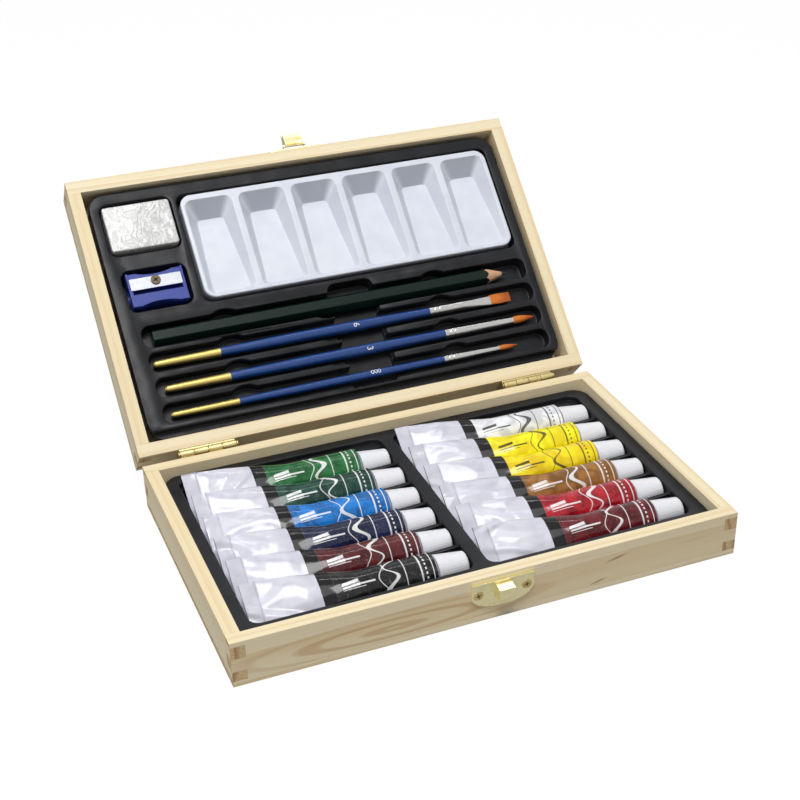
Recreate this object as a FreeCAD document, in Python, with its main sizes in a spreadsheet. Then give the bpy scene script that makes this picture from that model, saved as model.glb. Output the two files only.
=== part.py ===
"""Acrylic paint set in a hinged wooden case.

Millimetres, X along the length, Y from the clasp to the hinges, Z up.
The origin is the centre of the underside of the base.
Each half of the case is drawn in its own frame: open side up, rim plane at zero height.
"""
import FreeCAD, Part
import Sketcher
import math
import os
import re

Vector = FreeCAD.Vector

SIZES = {
    # wooden case
    "board_thickness": 5.8,
    "panel_thickness": 2.5,
    "rim_gap": 0.3,
    "finger_offset": 2.0,
    "finger_width": 5.6,
    "finger_pitch": 11.3,
    "least_finger": 1.5,
    "lid_open_angle": 137.6,
    # fits between pieces
    "seat_gap": 0.3,
    "running_gap": 0.3,
    "screw_fit": 0.1,
    # formed trays
    "tray_sheet": 0.7,
    "base_tray_gap": 0.5,
    "lid_tray_gap": 1.7,
    "lid_floor_gap": 2.5,
    "tray_corner": 7.5,
    "tray_edge": 0.6,
    "base_plateau_drop": 4.2,
    "lid_plateau_drop": 2.2,
    "lid_step_width": 3.2,
    "lid_step_drop": 4.0,
    "well_corner": 4.0,
    "well_draft": 0.05,
    # paint tubes
    "tube_rows": 6,
    "tube_radius": 8.0,
    "tube_length": 76.3,
    "tube_taper_length": 37.3,
    "tube_side_gap": 1.25,
    "tube_rim_gap": 0.7,
    "tube_lean": 17.0,
    "crimp_length": 6.5,
    "crimp_thickness": 1.0,
    "tail_tilt": 36.0,
    "tail_shift": 1.8,
    "tail_end_gap": 1.2,
    "tail_inset": 0.4,
    "tail_corner": 0.8,
    "tail_back_gap": 0.43,
    "tube_front_gap": 1.0,
    "shoulder_gap": 0.8,
    "shoulder_length": 1.0,
    "shoulder_edge_radius": 7.5,
    "shoulder_end_radius": 6.0,
    "neck_radius": 3.2,
    "neck_length": 9.5,
    # caps
    "cap_radius": 6.5,
    "cap_end_radius": 5.2,
    "cap_length": 13.2,
    "cap_end_chamfer": 0.5,
    "cap_roof": 1.2,
    "cap_tray_gap": 0.4,
    "cap_end_gap": 0.6,
    # margins of the base tray
    "base_left_margin": 6.7,
    "base_right_margin": 7.1,
    "base_front_margin": 7.89,
    "base_back_margin": 5.6,
    "column_strip": 6.4,
    "scallop_land": 2.9,
    "tail_floor_rise": 0.2,
    "groove_ledge": 0.1,
    "groove_front_flare": 0.5,
    "back_step_width": 2.4,
    "shelf_drop": 2.2,
    "shelf_lip": 0.4,
    "shelf_corner": 4.4,
    "flare_overlap": 0.3,
    # hinges
    "hinge_spread": 155.0,
    "hinge_width": 25.0,
    "hinge_knuckles": 4,
    "hinge_offset": 2.6,
    "knuckle_radius": 1.5,
    "pin_radius": 0.7,
    "pin_head_radius": 1.2,
    "pin_head_length": 0.5,
    "leaf_height": 9.5,
    "leaf_drop": 0.4,
    "leaf_screw_spacing": 15.0,
    "leaf_screw_drop": 5.6,
    "fitting_sheet": 0.8,
    "lever_sheet": 0.5,
    # screws
    "screw_radius": 1.0,
    "screw_head_radius": 2.0,
    "screw_length": 5.0,
    "screw_point": 1.2,
    "screw_tip_radius": 0.2,
    # clasp
    "clasp_centre": 1.5,
    "keeper_width": 26.8,
    "keeper_drop": 1.8,
    "keeper_straight": 6.0,
    "keeper_arch": 6.4,
    "keeper_lip": 0.4,
    "keeper_lip_height": 1.0,
    "keeper_screw_spacing": 20.7,
    "keeper_screw_drop": 7.4,
    "nose_width": 6.6,
    "nose_reach": 5.3,
    "nose_drop": 2.9,
    "nose_slope": 1.0,
    "nose_face": 4.7,
    "nose_return": 1.0,
    "hasp_width": 27.0,
    "hasp_height": 10.5,
    "hasp_edge_gap": 0.5,
    "hasp_screw_spacing": 19.5,
    "hasp_corner": 3.0,
    "lever_width": 8.6,
    "lever_length": 5.8,
    "lever_depth": 4.7,
    "lever_ring_radius": 0.8,
    "lever_lip": 1.2,
    "lever_pivot_offset": 1.95,
    "lever_pivot_rise": 0.5,
    "lever_pin_radius": 0.45,
    "lever_swing": 70.0,
    "ear_rise": 2.6,
    # lid contents, from the clasp side to the hinge side
    "groove_left_margin": 9.7,
    "groove_right_margin": 5.6,
    "eraser_left_margin": 5.9,
    "palette_right_margin": 6.5,
    "palette_front_margin": 7.5,
    "recess_bridge": 2.5,
    "palette_gap": 1.2,
    "palette_length": 153.2,
    "palette_depth": 51.9,
    "palette_height": 8.0,
    "palette_corner": 5.5,
    "palette_edge": 0.8,
    "palette_wall": 1.1,
    "palette_drop": 1.0,
    "palette_wells": 6,
    "palette_divider": 3.1,
    "palette_end_rim": 1.9,
    "palette_front_rim": 2.9,
    "palette_back_rim": 1.3,
    "paint_well_depth": 6.4,
    "paint_well_floor_width": 12.5,
    "paint_well_front_slope": 7.8,
    "paint_well_shallow_depth": 2.0,
    "paint_well_shallow_narrowing": 2.2,
    "paint_well_back_slope": 1.6,
    "paint_well_corner": 3.5,
    "paint_well_floor_corner": 2.0,
    "eraser_length": 30.8,
    "eraser_depth": 22.0,
    "eraser_thickness": 11.5,
    "eraser_side_gap": 1.05,
    "eraser_end_gap": 2.0,
    "eraser_front_margin": 6.9,
    "eraser_drop": 0.8,
    "eraser_edge": 1.2,
    "sharpener_bridge": 7.5,
    "sharpener_length": 25.7,
    "sharpener_depth": 16.2,
    "sharpener_height": 10.5,
    "sharpener_side_gap": 2.0,
    "sharpener_drop": 0.8,
    "sharpener_waist": 1.3,
    "sharpener_waist_length": 17.0,
    "sharpener_mouth_radius": 4.0,
    "sharpener_throat_radius": 1.2,
    "sharpener_bore_drop": 5.5,
    "sharpener_slot_width": 2.4,
    "blade_drop": 1.1,
    "blade_length": 23.6,
    "blade_width": 5.5,
    "blade_hole_offset": 3.4,
    "blade_thickness": 0.5,
    "blade_screw_radius": 1.2,
    "blade_screw_head_radius": 2.2,
    "blade_screw_head_height": 0.7,
    "blade_screw_length": 3.6,
    "pencil_row_gap": 12.5,
    "row_pitch": 12.3,
    "last_row_margin": 11.8,
    "pencil_length": 174.7,
    "pencil_width": 7.0,
    "pencil_point_length": 10.6,
    "pencil_lead_radius": 1.0,
    "pencil_lead_tip_radius": 0.17,
    "pencil_drop": 1.9,
    "pencil_butt_gap": 4.8,
    "pencil_tip_gap": 8.6,
    "pencil_groove_width": 10.6,
    "brush_axis_drop": 5.0,
    "brush_groove_width": 9.4,
    "brush_groove_depth": 2.8,
    "brush_end_gap": 2.0,
    "brush_end_round": 1.0,
    "ferrule_sheet": 0.2,
    "ferrule_ring_start": 2.0,
    "ferrule_ring_pitch": 2.4,
    "ferrule_ring_width": 0.8,
    "ferrule_ring_depth": 0.15,
    "ferrule_sleeve_share": 0.55,
    "tuft_thickness": 0.9,
    "tuft_inset": 0.2,
    "flat_start": 1.8,
    "flat_dip": 31.0,
    "flat_handle": 132.7,
    "flat_ferrule": 31.6,
    "flat_tuft": 10.5,
    "flat_butt": 1.7,
    "flat_belly": 2.5,
    "flat_neck": 2.0,
    "flat_ferrule_end": 2.6,
    "flat_tuft_tip": 2.3,
    "round_start": 4.1,
    "round_dip": 30.1,
    "round_handle": 134.5,
    "round_ferrule": 35.3,
    "round_tuft": 11.4,
    "round_butt": 1.7,
    "round_belly": 2.5,
    "round_neck": 2.1,
    "round_ferrule_end": 1.9,
    "round_tuft_tip": 0.25,
    "fine_start": 3.7,
    "fine_dip": 31.2,
    "fine_handle": 130.5,
    "fine_ferrule": 28.6,
    "fine_tuft": 9.5,
    "fine_butt": 1.4,
    "fine_belly": 1.9,
    "fine_neck": 1.7,
    "fine_ferrule_end": 1.3,
    "fine_tuft_tip": 0.2,
    "finger_channel_width": 22.4,
    "finger_channel_start": 99.7,
    "finger_channel_depth": 9.6,
    "finger_channel_front": 3.9,
    "finger_channel_back": 1.2,
    "scallop_depth": 1.6,
    "scallop_chord": 11.6,
    "groove_overlap": 1.0,
    "scallop_first": 38.7,
    "scallop_second": 86.1,
    "scallop_third": 141.1,
}

# brushes, from the pencil towards the hinges
BRUSHES = ("flat", "round", "fine")

# sizes that follow from the ones above
LAYOUT = {
    "tube_pitch": "2 * tube_radius + tube_side_gap",
    "tail_half_width": "pi * tube_radius / 2",
    "well_length": "tail_end_gap + tube_length + running_gap + cap_length + cap_end_gap",
    "column_pitch": "well_length + column_strip",
    "tube_back_room": "tail_half_width * cos(tail_tilt) + tail_shift + tail_back_gap",
    "tube_front_room": "tail_half_width * cos(tail_tilt) - tail_shift"
                       " + crimp_thickness / 2 * sin(tail_tilt) + tube_front_gap",
    "rows_depth": "tube_back_room + (tube_rows - 1) * tube_pitch + tube_front_room",
    "eraser_recess_length": "eraser_length + 2 * eraser_side_gap",
    "eraser_recess_depth": "eraser_depth + 2 * eraser_end_gap",
    "flat_reach": "flat_start + flat_handle + flat_ferrule + flat_tuft",
    "round_reach": "round_start + round_handle + round_ferrule + round_tuft",
    "fine_reach": "fine_start + fine_handle + fine_ferrule + fine_tuft",
    "groove_length": "max(pencil_butt_gap + pencil_length + pencil_tip_gap;"
                     " max(flat_reach; round_reach; fine_reach) + brush_end_gap)",
    "palette_recess_length": "palette_length + 2 * palette_gap",
    "palette_recess_depth": "palette_depth + 2 * palette_gap",
    "inner_length": "max(base_left_margin + 2 * well_length + column_strip + base_right_margin;"
                    " groove_left_margin + groove_length + groove_right_margin;"
                    " eraser_left_margin + eraser_recess_length + recess_bridge"
                    " + palette_recess_length + palette_right_margin)",
    "inner_depth": "max(base_front_margin + rows_depth + base_back_margin;"
                   " palette_front_margin + palette_gap + palette_depth + pencil_row_gap"
                   " + 3 * row_pitch + last_row_margin)",
    "case_length": "inner_length + 2 * board_thickness",
    "case_depth": "inner_depth + 2 * board_thickness",
    "base_height": "panel_thickness + tray_sheet + seat_gap + 2 * tube_radius + tube_rim_gap",
    "lid_contents": "max(max(eraser_drop + eraser_thickness; sharpener_drop + sharpener_height);"
                    " max(palette_drop + palette_height; pencil_drop + pencil_width))",
    "lid_height": "panel_thickness + lid_floor_gap + tray_sheet + seat_gap + lid_contents",
    "tube_axis_drop": "tube_rim_gap + tube_radius",
    "base_floor_drop": "base_height - panel_thickness - tray_sheet",
    "first_tube_y": "inner_depth / 2 - base_back_margin - tube_back_room",
    "first_tail_x": "-inner_length / 2 + base_left_margin + tail_end_gap",
    "groove_radius": "cap_radius + cap_tray_gap",
    "groove_rise": "tube_axis_drop - base_plateau_drop",
    "flare_rise": "groove_rise - shelf_drop + flare_overlap",
    "hinge_y": "case_depth / 2 + hinge_offset",
    "hinge_rise": "rim_gap / 2",
    "lid_lean": "180 - lid_open_angle",
    "lid_y": "hinge_y + hinge_y * cos(lid_lean) + hinge_rise * sin(lid_lean)",
    "lid_z": "base_height + hinge_rise + hinge_y * sin(lid_lean) - hinge_rise * cos(lid_lean)",
    "eraser_x": "-inner_length / 2 + eraser_left_margin + eraser_recess_length / 2",
    "eraser_y": "inner_depth / 2 - eraser_front_margin - eraser_recess_depth / 2",
    "sharpener_y": "eraser_y - eraser_recess_depth / 2 - sharpener_bridge"
                   " - sharpener_side_gap - sharpener_depth / 2",
    "palette_x": "-inner_length / 2 + eraser_left_margin + eraser_recess_length + recess_bridge"
                 " + palette_gap",
    "palette_y": "inner_depth / 2 - palette_front_margin - palette_gap - palette_depth",
    "groove_x": "-inner_length / 2 + groove_left_margin",
    "pencil_y": "palette_y - pencil_row_gap",
    "pencil_axis_drop": "pencil_drop + pencil_width / 2",
    "paint_well_pitch": "(palette_length - 2 * palette_end_rim + palette_divider) / palette_wells",
    "paint_well_width": "paint_well_pitch - palette_divider",
    "lever_pivot_y": "case_depth / 2 + lever_pivot_offset",
    "hasp_screw_drop": "hasp_edge_gap + hasp_height / 2",
    "tube_taper_end": "crimp_length + tube_taper_length",
    "brush_floor_drop": "brush_axis_drop + brush_groove_depth",
}

doc = FreeCAD.newDocument("PaintSet")


def linked(text, own=""):
    """An expression in plain names, pointed at the sheets that hold them."""
    def point(match):
        word = match.group(0)
        if word in SIZES and own != "Sizes":
            return "Sizes." + word
        if word in LAYOUT and own != "Layout":
            return "Layout." + word
        return word
    return re.sub(r"[A-Za-z_][A-Za-z_0-9]*", point, text)


def fill_sheets():
    sizes = doc.addObject("Spreadsheet::Sheet", "Sizes")
    for row, name in enumerate(SIZES, start=1):
        sizes.set("A%d" % row, name)
        sizes.set("B%d" % row, str(SIZES[name]))
        sizes.setAlias("B%d" % row, name)
    layout = doc.addObject("Spreadsheet::Sheet", "Layout")
    for row, name in enumerate(LAYOUT, start=1):
        layout.setAlias("B%d" % row, name)
    for row, name in enumerate(LAYOUT, start=1):
        layout.set("A%d" % row, name)
        layout.set("B%d" % row, "=" + linked(LAYOUT[name], own="Layout"))
    doc.recompute()
    return sizes, layout


SIZES_SHEET, LAYOUT_SHEET = fill_sheets()
PIECES = []


def value(name):
    sheet = SIZES_SHEET if name in SIZES else LAYOUT_SHEET
    return float(getattr(sheet, name))


def bind(item, **texts):
    for name, text in texts.items():
        item.setExpression(name, linked(text))
    return item


def place(item, x="0", y="0", z="0"):
    item.setExpression("Placement.Base.x", linked(x))
    item.setExpression("Placement.Base.y", linked(y))
    item.setExpression("Placement.Base.z", linked(z))
    return item


def keep(item, label):
    item.Label = label
    PIECES.append(item)
    return item


def in_base(item, label):
    """The base frame stands on the table, with its rim at the height of the base."""
    place(item, "0", "0", "base_height")
    return keep(item, label)


def in_lid(item, label):
    """The lid frame leans back about the hinge pins."""
    item.Placement = FreeCAD.Placement(Vector(), FreeCAD.Rotation(Vector(1, 0, 0), 1.0))
    item.setExpression("Placement.Rotation.Angle", linked("lid_lean"))
    place(item, "0", "lid_y", "lid_z")
    return keep(item, label)


# Part primitives and booleans

def box(name, x, y, z, length, width, height):
    item = doc.addObject("Part::Box", name)
    bind(item, Length=length, Width=width, Height=height)
    return place(item, x, y, z)


def cylinder(name, axis, x, y, z, radius, height):
    item = doc.addObject("Part::Cylinder", name)
    item.Placement.Rotation = FreeCAD.Rotation(Vector(0, 0, 1), axis)
    bind(item, Radius=radius, Height=height)
    return place(item, x, y, z)


def cone(name, axis, x, y, z, start, end, height):
    item = doc.addObject("Part::Cone", name)
    item.Placement.Rotation = FreeCAD.Rotation(Vector(0, 0, 1), axis)
    bind(item, Radius1=start, Radius2=end, Height=height)
    return place(item, x, y, z)


def fuse(name, items):
    item = doc.addObject("Part::MultiFuse", name)
    item.Shapes = items
    return item


def cut(name, base, tool):
    item = doc.addObject("Part::Cut", name)
    item.Base = base
    item.Tool = tool
    return item


def common(name, first, second):
    item = doc.addObject("Part::Common", name)
    item.Base = first
    item.Tool = second
    return item


def group(name, items):
    item = doc.addObject("Part::Compound", name)
    item.Links = items
    return item


def rounded(name, base, radius, chosen):
    """Fillets of one radius on the edges that the function picks out."""
    doc.recompute()
    item = doc.addObject("Part::Fillet", name)
    item.Base = base
    item.Edges = [(number, radius, radius)
                  for number, edge in enumerate(base.Shape.Edges, start=1) if chosen(edge)]
    return item


def upright(edge):
    """An edge that rises, as at the corner of a box or of a drafted pocket."""
    start = edge.Vertexes[0].Point
    run = edge.Vertexes[-1].Point - start
    return abs(run.z) > 2 * math.hypot(run.x, run.y)


# PartDesign bodies

def new_body(name):
    return doc.addObject("PartDesign::Body", name)


def sketch_on(body, plane, name, offset="0"):
    sketch = body.newObject("Sketcher::SketchObject", name)
    for feature in body.Origin.OriginFeatures:
        if feature.Role == plane:
            sketch.AttachmentSupport = [(feature, "")]
    sketch.MapMode = "FlatFace"
    sketch.setExpression("AttachmentOffset.Base.z", linked(offset))
    return sketch


def pin_point(sketch, edge, end, u, v):
    across = sketch.addConstraint(sketch_constraint("DistanceX", edge, end))
    along = sketch.addConstraint(sketch_constraint("DistanceY", edge, end))
    sketch.setExpression("Constraints[%d]" % across, linked(u))
    sketch.setExpression("Constraints[%d]" % along, linked(v))


def sketch_constraint(kind, edge, end):
    return Sketcher.Constraint(kind, -1, 1, edge, end, 1.0)


def polygon(sketch, points):
    """A closed outline whose corners are tied to expressions."""
    corners = []
    turn = 2 * math.pi / len(points)
    for number in range(len(points)):
        corners.append(Vector(10 * math.cos(turn * number), 10 * math.sin(turn * number), 0))
    first = sketch.GeometryCount
    for number in range(len(points)):
        ahead = (number + 1) % len(points)
        sketch.addGeometry(Part.LineSegment(corners[number], corners[ahead]), False)
    for number in range(len(points)):
        ahead = (number + 1) % len(points)
        sketch.addConstraint(Sketcher.Constraint("Coincident", first + number, 2,
                                                 first + ahead, 1))
    for number, (u, v) in enumerate(points):
        pin_point(sketch, first + number, 1, u, v)


def circle(sketch, u, v, radius):
    number = sketch.addGeometry(Part.Circle(Vector(1, 1, 0), Vector(0, 0, 1), 1.0), False)
    size = sketch.addConstraint(Sketcher.Constraint("Radius", number, 1.0))
    sketch.setExpression("Constraints[%d]" % size, linked(radius))
    pin_point(sketch, number, 3, u, v)


def pad(body, sketch, length, reverse=False):
    feature = body.newObject("PartDesign::Pad", sketch.Name + "Pad")
    feature.Profile = sketch
    feature.Reversed = reverse
    bind(feature, Length=length)
    return feature


def pocket(body, sketch, length, reverse=False):
    feature = body.newObject("PartDesign::Pocket", sketch.Name + "Pocket")
    feature.Profile = sketch
    feature.Reversed = reverse
    bind(feature, Length=length)
    return feature


def revolve(body, sketch):
    """A full turn about the upright axis of the sketch."""
    feature = body.newObject("PartDesign::Revolution", sketch.Name + "Turn")
    feature.Profile = sketch
    feature.ReferenceAxis = (sketch, ["V_Axis"])
    feature.Angle = 360.0
    return feature


def soften(body, feature, name, radius, chosen):
    """Fillets on the edges of a body's feature that the function picks out."""
    doc.recompute()
    names = ["Edge%d" % number
             for number, edge in enumerate(feature.Shape.Edges, start=1) if chosen(edge)]
    item = body.newObject("PartDesign::Fillet", name)
    item.Base = (feature, names)
    bind(item, Radius=radius)
    body.Tip = item
    return item


def block(name, x, y, z, length, width, height, corner):
    """A block with rounded upright corners."""
    body = new_body(name)
    sketch = sketch_on(body, "XY_Plane", name + "Outline", z)
    ends = ["(%s)" % x, "(%s) + (%s)" % (x, length)]
    sides = ["(%s)" % y, "(%s) + (%s)" % (y, width)]
    polygon(sketch, [(ends[0], sides[0]), (ends[1], sides[0]),
                     (ends[1], sides[1]), (ends[0], sides[1])])
    feature = pad(body, sketch, height)
    soften(body, feature, name + "Corners", corner, upright)
    return body


# wooden case

def finger_spans(height):
    """Top and height of each finger of the side boards, measured down from the rim."""
    board = value(height) - value("panel_thickness")
    spans = []
    start = value("finger_offset")
    while start + value("least_finger") <= board:
        top = "(finger_offset + %d * finger_pitch)" % len(spans)
        spans.append((top, "min(finger_width; %s - panel_thickness - %s)" % (height, top)))
        start += value("finger_pitch")
    return spans


def case_half(prefix, height, panel_name, finish):
    """Four finger-jointed boards on a panel; finish puts each piece in its place."""
    front, back = ("front", "back") if prefix == "base" else ("back", "front")
    drop = "-(%s - panel_thickness)" % height
    for name, side in ((front, -1), (back, 1)):
        long_board(prefix + "_" + name + "_board", side, height, drop, finish)
    for name, side in (("left", -1), ("right", 1)):
        short_board(prefix + "_" + name + "_board", side, height, drop, finish)
    panel = new_body(prefix + "PanelBody")
    sketch = sketch_on(panel, "XY_Plane", prefix + "PanelOutline", "-" + height)
    polygon(sketch, [("-case_length / 2", "-case_depth / 2"), ("case_length / 2", "-case_depth / 2"),
                     ("case_length / 2", "case_depth / 2"), ("-case_length / 2", "case_depth / 2")])
    pad(panel, sketch, "panel_thickness")
    finish(panel, panel_name)


def long_board(label, side, height, drop, finish):
    """A front or back board: full length at the rim, notched for the fingers, bored for screws."""
    y = "-case_depth / 2" if side < 0 else "inner_depth / 2"
    blank = box(label + "Blank", "-case_length / 2", y, drop,
                "case_length", "board_thickness", height + " - panel_thickness")
    cutters = []
    for number, (top, tall) in enumerate(finger_spans(height)):
        for end, x in enumerate(("-case_length / 2", "inner_length / 2")):
            cutters.append(box("%sNotch%d%d" % (label, number, end), x, y,
                               "-%s - %s" % (top, tall), "board_thickness", "board_thickness", tall))
    cutters += board_bores(label, side, height)
    finish(cut(label + "Cut", blank, fuse(label + "Cutters", cutters)), label)


def short_board(label, side, height, drop, finish):
    """A side board: it ends between the long boards, and its fingers reach through them."""
    x = "-case_length / 2" if side < 0 else "inner_length / 2"
    parts = [box(label + "Blank", x, "-inner_depth / 2", drop,
                 "board_thickness", "inner_depth", height + " - panel_thickness")]
    for number, (top, tall) in enumerate(finger_spans(height)):
        parts.append(box("%sFinger%d" % (label, number), x, "-case_depth / 2",
                         "-%s - %s" % (top, tall), "board_thickness", "case_depth", tall))
    finish(fuse(label + "Joined", parts), label)


def screw_places(prefix):
    """Screws of a half: side of the case, x and height in that half's frame."""
    hinge_side = 1 if prefix == "base" else -1
    places = []
    for hinge in (-1, 1):
        for screw in (-1, 1):
            x = "%d * hinge_spread / 2 + %d * leaf_screw_spacing / 2" % (hinge, screw)
            places.append((hinge_side, x, "-leaf_screw_drop"))
    spacing = "keeper_screw_spacing" if prefix == "base" else "hasp_screw_spacing"
    drop = "-keeper_screw_drop" if prefix == "base" else "-hasp_screw_drop"
    for screw in (-1, 1):
        places.append((-hinge_side, "clasp_centre + %d * %s / 2" % (screw, spacing), drop))
    return places


def face(side):
    return "%d * case_depth / 2" % side


def board_bores(label, side, height):
    """Clearance bores for the screws that enter this board."""
    prefix = label.split("_")[0]
    bores = []
    for number, (wall, x, z) in enumerate(screw_places(prefix)):
        if wall == side:
            bores.append(cylinder("%sBore%d" % (label, number), Vector(0, -side, 0), x, face(side), z,
                                  "screw_radius + screw_fit",
                                  "screw_length + screw_fit - fitting_sheet"))
    return bores


def screws(prefix, finish):
    """Countersunk screws through the fittings of one half."""
    made = []
    for number, (side, x, z) in enumerate(screw_places(prefix)):
        name = "%sScrew%d" % (prefix, number)
        axis = Vector(0, -side, 0)
        start = "%d * (case_depth / 2 + fitting_sheet)" % side
        shank = "(screw_length - screw_point)"
        made.append(fuse(name, [
            cone(name + "Head", axis, x, start, z, "screw_head_radius", "screw_radius",
                 "fitting_sheet"),
            cylinder(name + "Shank", axis, x, start, z, "screw_radius", shank),
            cone(name + "Point", axis, x, "%s - %d * %s" % (start, side, shank), z,
                 "screw_radius", "screw_tip_radius", "screw_point"),
        ]))
    finish(group(prefix + "ScrewGroup", made), prefix + "_screws")


def countersinks(label, prefix, side):
    """Cone-shaped holes for the screw heads in a sheet fitting on one face."""
    holes = []
    for number, (wall, x, z) in enumerate(screw_places(prefix)):
        if wall == side:
            holes.append(cone("%sSink%d" % (label, number), Vector(0, -side, 0), x,
                              "%d * (case_depth / 2 + fitting_sheet)" % side, z,
                              "screw_head_radius + screw_fit", "screw_radius + screw_fit",
                              "fitting_sheet"))
    return holes


# hinges

def knuckle_width():
    return "((hinge_width - (hinge_knuckles - 1) * running_gap) / hinge_knuckles)"


def knuckle_start(hinge, number):
    return "(%d * hinge_spread / 2 - hinge_width / 2 + %d * (%s + running_gap))" % (
        hinge, number, knuckle_width())


def hinge_leaves(prefix, finish):
    """Two leaves on the hinge side of one half; its knuckles alternate with the other half's."""
    side = 1 if prefix == "base" else -1
    near = "case_depth / 2" if side > 0 else "-case_depth / 2 - fitting_sheet"
    strip_y = "case_depth / 2" if side > 0 else "-hinge_y"
    leaves = []
    for hinge in (-1, 1):
        name = "%sLeaf%d" % (prefix, hinge + 1)
        start = "%d * hinge_spread / 2 - hinge_width / 2" % hinge
        parts = [box(name + "Plate", start, near, "-leaf_drop - leaf_height",
                     "hinge_width", "fitting_sheet", "leaf_height")]
        for number in range(0 if side > 0 else 1, int(value("hinge_knuckles")), 2):
            x = knuckle_start(hinge, number)
            parts.append(box("%sStrip%d" % (name, number), x, strip_y,
                             "hinge_rise - knuckle_radius", knuckle_width(), "hinge_offset",
                             "fitting_sheet"))
            parts.append(cylinder("%sKnuckle%d" % (name, number), Vector(1, 0, 0), x,
                                  "%d * hinge_y" % side, "hinge_rise", "knuckle_radius",
                                  knuckle_width()))
        bore = cylinder(name + "Bore", Vector(1, 0, 0), start, "%d * hinge_y" % side, "hinge_rise",
                        "pin_radius + running_gap", "hinge_width")
        leaves.append(cut(name, fuse(name + "Joined", parts), bore))
    holes = fuse(prefix + "LeafHoles", countersinks(prefix + "Leaf", prefix, side))
    finish(cut(prefix + "LeavesCut", group(prefix + "Leaves", leaves), holes),
           prefix + "_hinge_leaves")


def pivot_pins():
    """Headed pins of the two hinges and the short pin of the hasp lever, in the lid's frame."""
    axis = Vector(1, 0, 0)
    pins = []
    for hinge in (-1, 1):
        name = "hingePin%d" % (hinge + 1)
        start = "%d * hinge_spread / 2 - hinge_width / 2" % hinge
        length = "(hinge_width + 2 * running_gap)"
        pins.append(fuse(name, [
            cylinder(name + "Stem", axis, start + " - running_gap", "-hinge_y", "hinge_rise",
                     "pin_radius", length),
            cylinder(name + "HeadA", axis, start + " - running_gap - pin_head_length", "-hinge_y",
                     "hinge_rise", "pin_head_radius", "pin_head_length"),
            cylinder(name + "HeadB", axis, start + " - running_gap + " + length, "-hinge_y",
                     "hinge_rise", "pin_head_radius", "pin_head_length"),
        ]))
    pins.append(cylinder("leverPin", axis, "clasp_centre - %s" % EAR_OUTSIDE, "lever_pivot_y",
                         "-lever_pivot_rise", "lever_pin_radius", "2 * %s" % EAR_OUTSIDE))
    in_lid(group("pinGroup", pins), "pivot_pins")


EAR_INSIDE = "(lever_width / 2 + running_gap)"
EAR_OUTSIDE = "(lever_width / 2 + running_gap + fitting_sheet)"


# clasp

def keeper_plate():
    """A plate with straight sides, an arched lower edge, a folded lip and a hollow pressed nose."""
    body = new_body("keeperBody")
    sketch = sketch_on(body, "XZ_Plane", "keeperOutline", "case_depth / 2")
    polygon(sketch, keeper_points())
    pad(body, sketch, "fitting_sheet")
    sheet = body
    lip = box("keeperLip", "clasp_centre - keeper_width / 2",
              "-case_depth / 2 - fitting_sheet - keeper_lip", "-keeper_drop - keeper_lip_height",
              "keeper_width", "fitting_sheet + keeper_lip", "keeper_lip_height")
    nose = nose_solid("nose", "0", "nose_width")
    hollow = nose_solid("noseHollow", "fitting_sheet", "nose_width - 2 * fitting_sheet")
    solid = cut("keeperHollowed", fuse("keeperJoined", [sheet, lip, nose]), hollow)
    holes = fuse("keeperHoles", countersinks("keeper", "base", -1))
    in_base(cut("keeperCut", solid, holes), "keeper_plate")


def keeper_points():
    """Half circle stretched into an arch below the straight sides."""
    half = "keeper_width / 2"
    points = [("clasp_centre - " + half, "-keeper_drop"), ("clasp_centre + " + half, "-keeper_drop")]
    steps = 10
    for step in range(steps + 1):
        turn = 180.0 * step / steps
        points.append(("clasp_centre + keeper_width / 2 * cos(%g)" % turn,
                       "-keeper_drop - keeper_straight - keeper_arch * sin(%g)" % turn))
    return points


def nose_solid(name, inset, width):
    """The nose in profile: sloping top, upright face, returning underside."""
    body = new_body(name + "Body")
    sketch = sketch_on(body, "YZ_Plane", name + "Profile", "clasp_centre - (%s) / 2" % width)
    wall = "-case_depth / 2"
    reach = "%s - nose_reach + %s" % (wall, inset)
    polygon(sketch, [
        (wall, "-nose_drop - " + inset),
        (reach, "-nose_drop - nose_slope - " + inset),
        (reach, "-nose_drop - nose_slope - nose_face + " + inset),
        (wall, "-nose_drop - nose_slope - nose_face - nose_return + " + inset),
    ])
    pad(body, sketch, width)
    return body


def hasp_plate():
    """The plate on the lid, with two ears that hold the lever's pin."""
    plate = block("haspPlate", "clasp_centre - hasp_width / 2", "0", "0", "hasp_width",
                  "hasp_height", "fitting_sheet", "hasp_corner")
    plate.Placement.Rotation = FreeCAD.Rotation(Vector(1, 0, 0), 90.0)
    place(plate, "0", "case_depth / 2 + fitting_sheet", "-hasp_edge_gap - hasp_height")
    ears = []
    for side, x in (("Left", "clasp_centre - " + EAR_OUTSIDE), ("Right", "clasp_centre + " + EAR_INSIDE)):
        ears.append(cylinder("ear" + side, Vector(1, 0, 0), x, "lever_pivot_y", "-lever_pivot_rise",
                             "lever_ring_radius", "fitting_sheet"))
        ears.append(box("ear" + side + "Root", x, "case_depth / 2", "-lever_pivot_rise - ear_rise",
                        "fitting_sheet", "lever_pivot_offset", "ear_rise"))
    pin = cylinder("earBore", Vector(1, 0, 0), "clasp_centre - " + EAR_OUTSIDE, "lever_pivot_y",
                   "-lever_pivot_rise", "lever_pin_radius + screw_fit", "2 * " + EAR_OUTSIDE)
    solid = cut("haspBored", fuse("haspJoined", [plate] + ears), pin)
    holes = fuse("haspHoles", countersinks("hasp", "lid", 1))
    in_lid(cut("haspCut", solid, holes), "hasp_plate")


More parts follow.
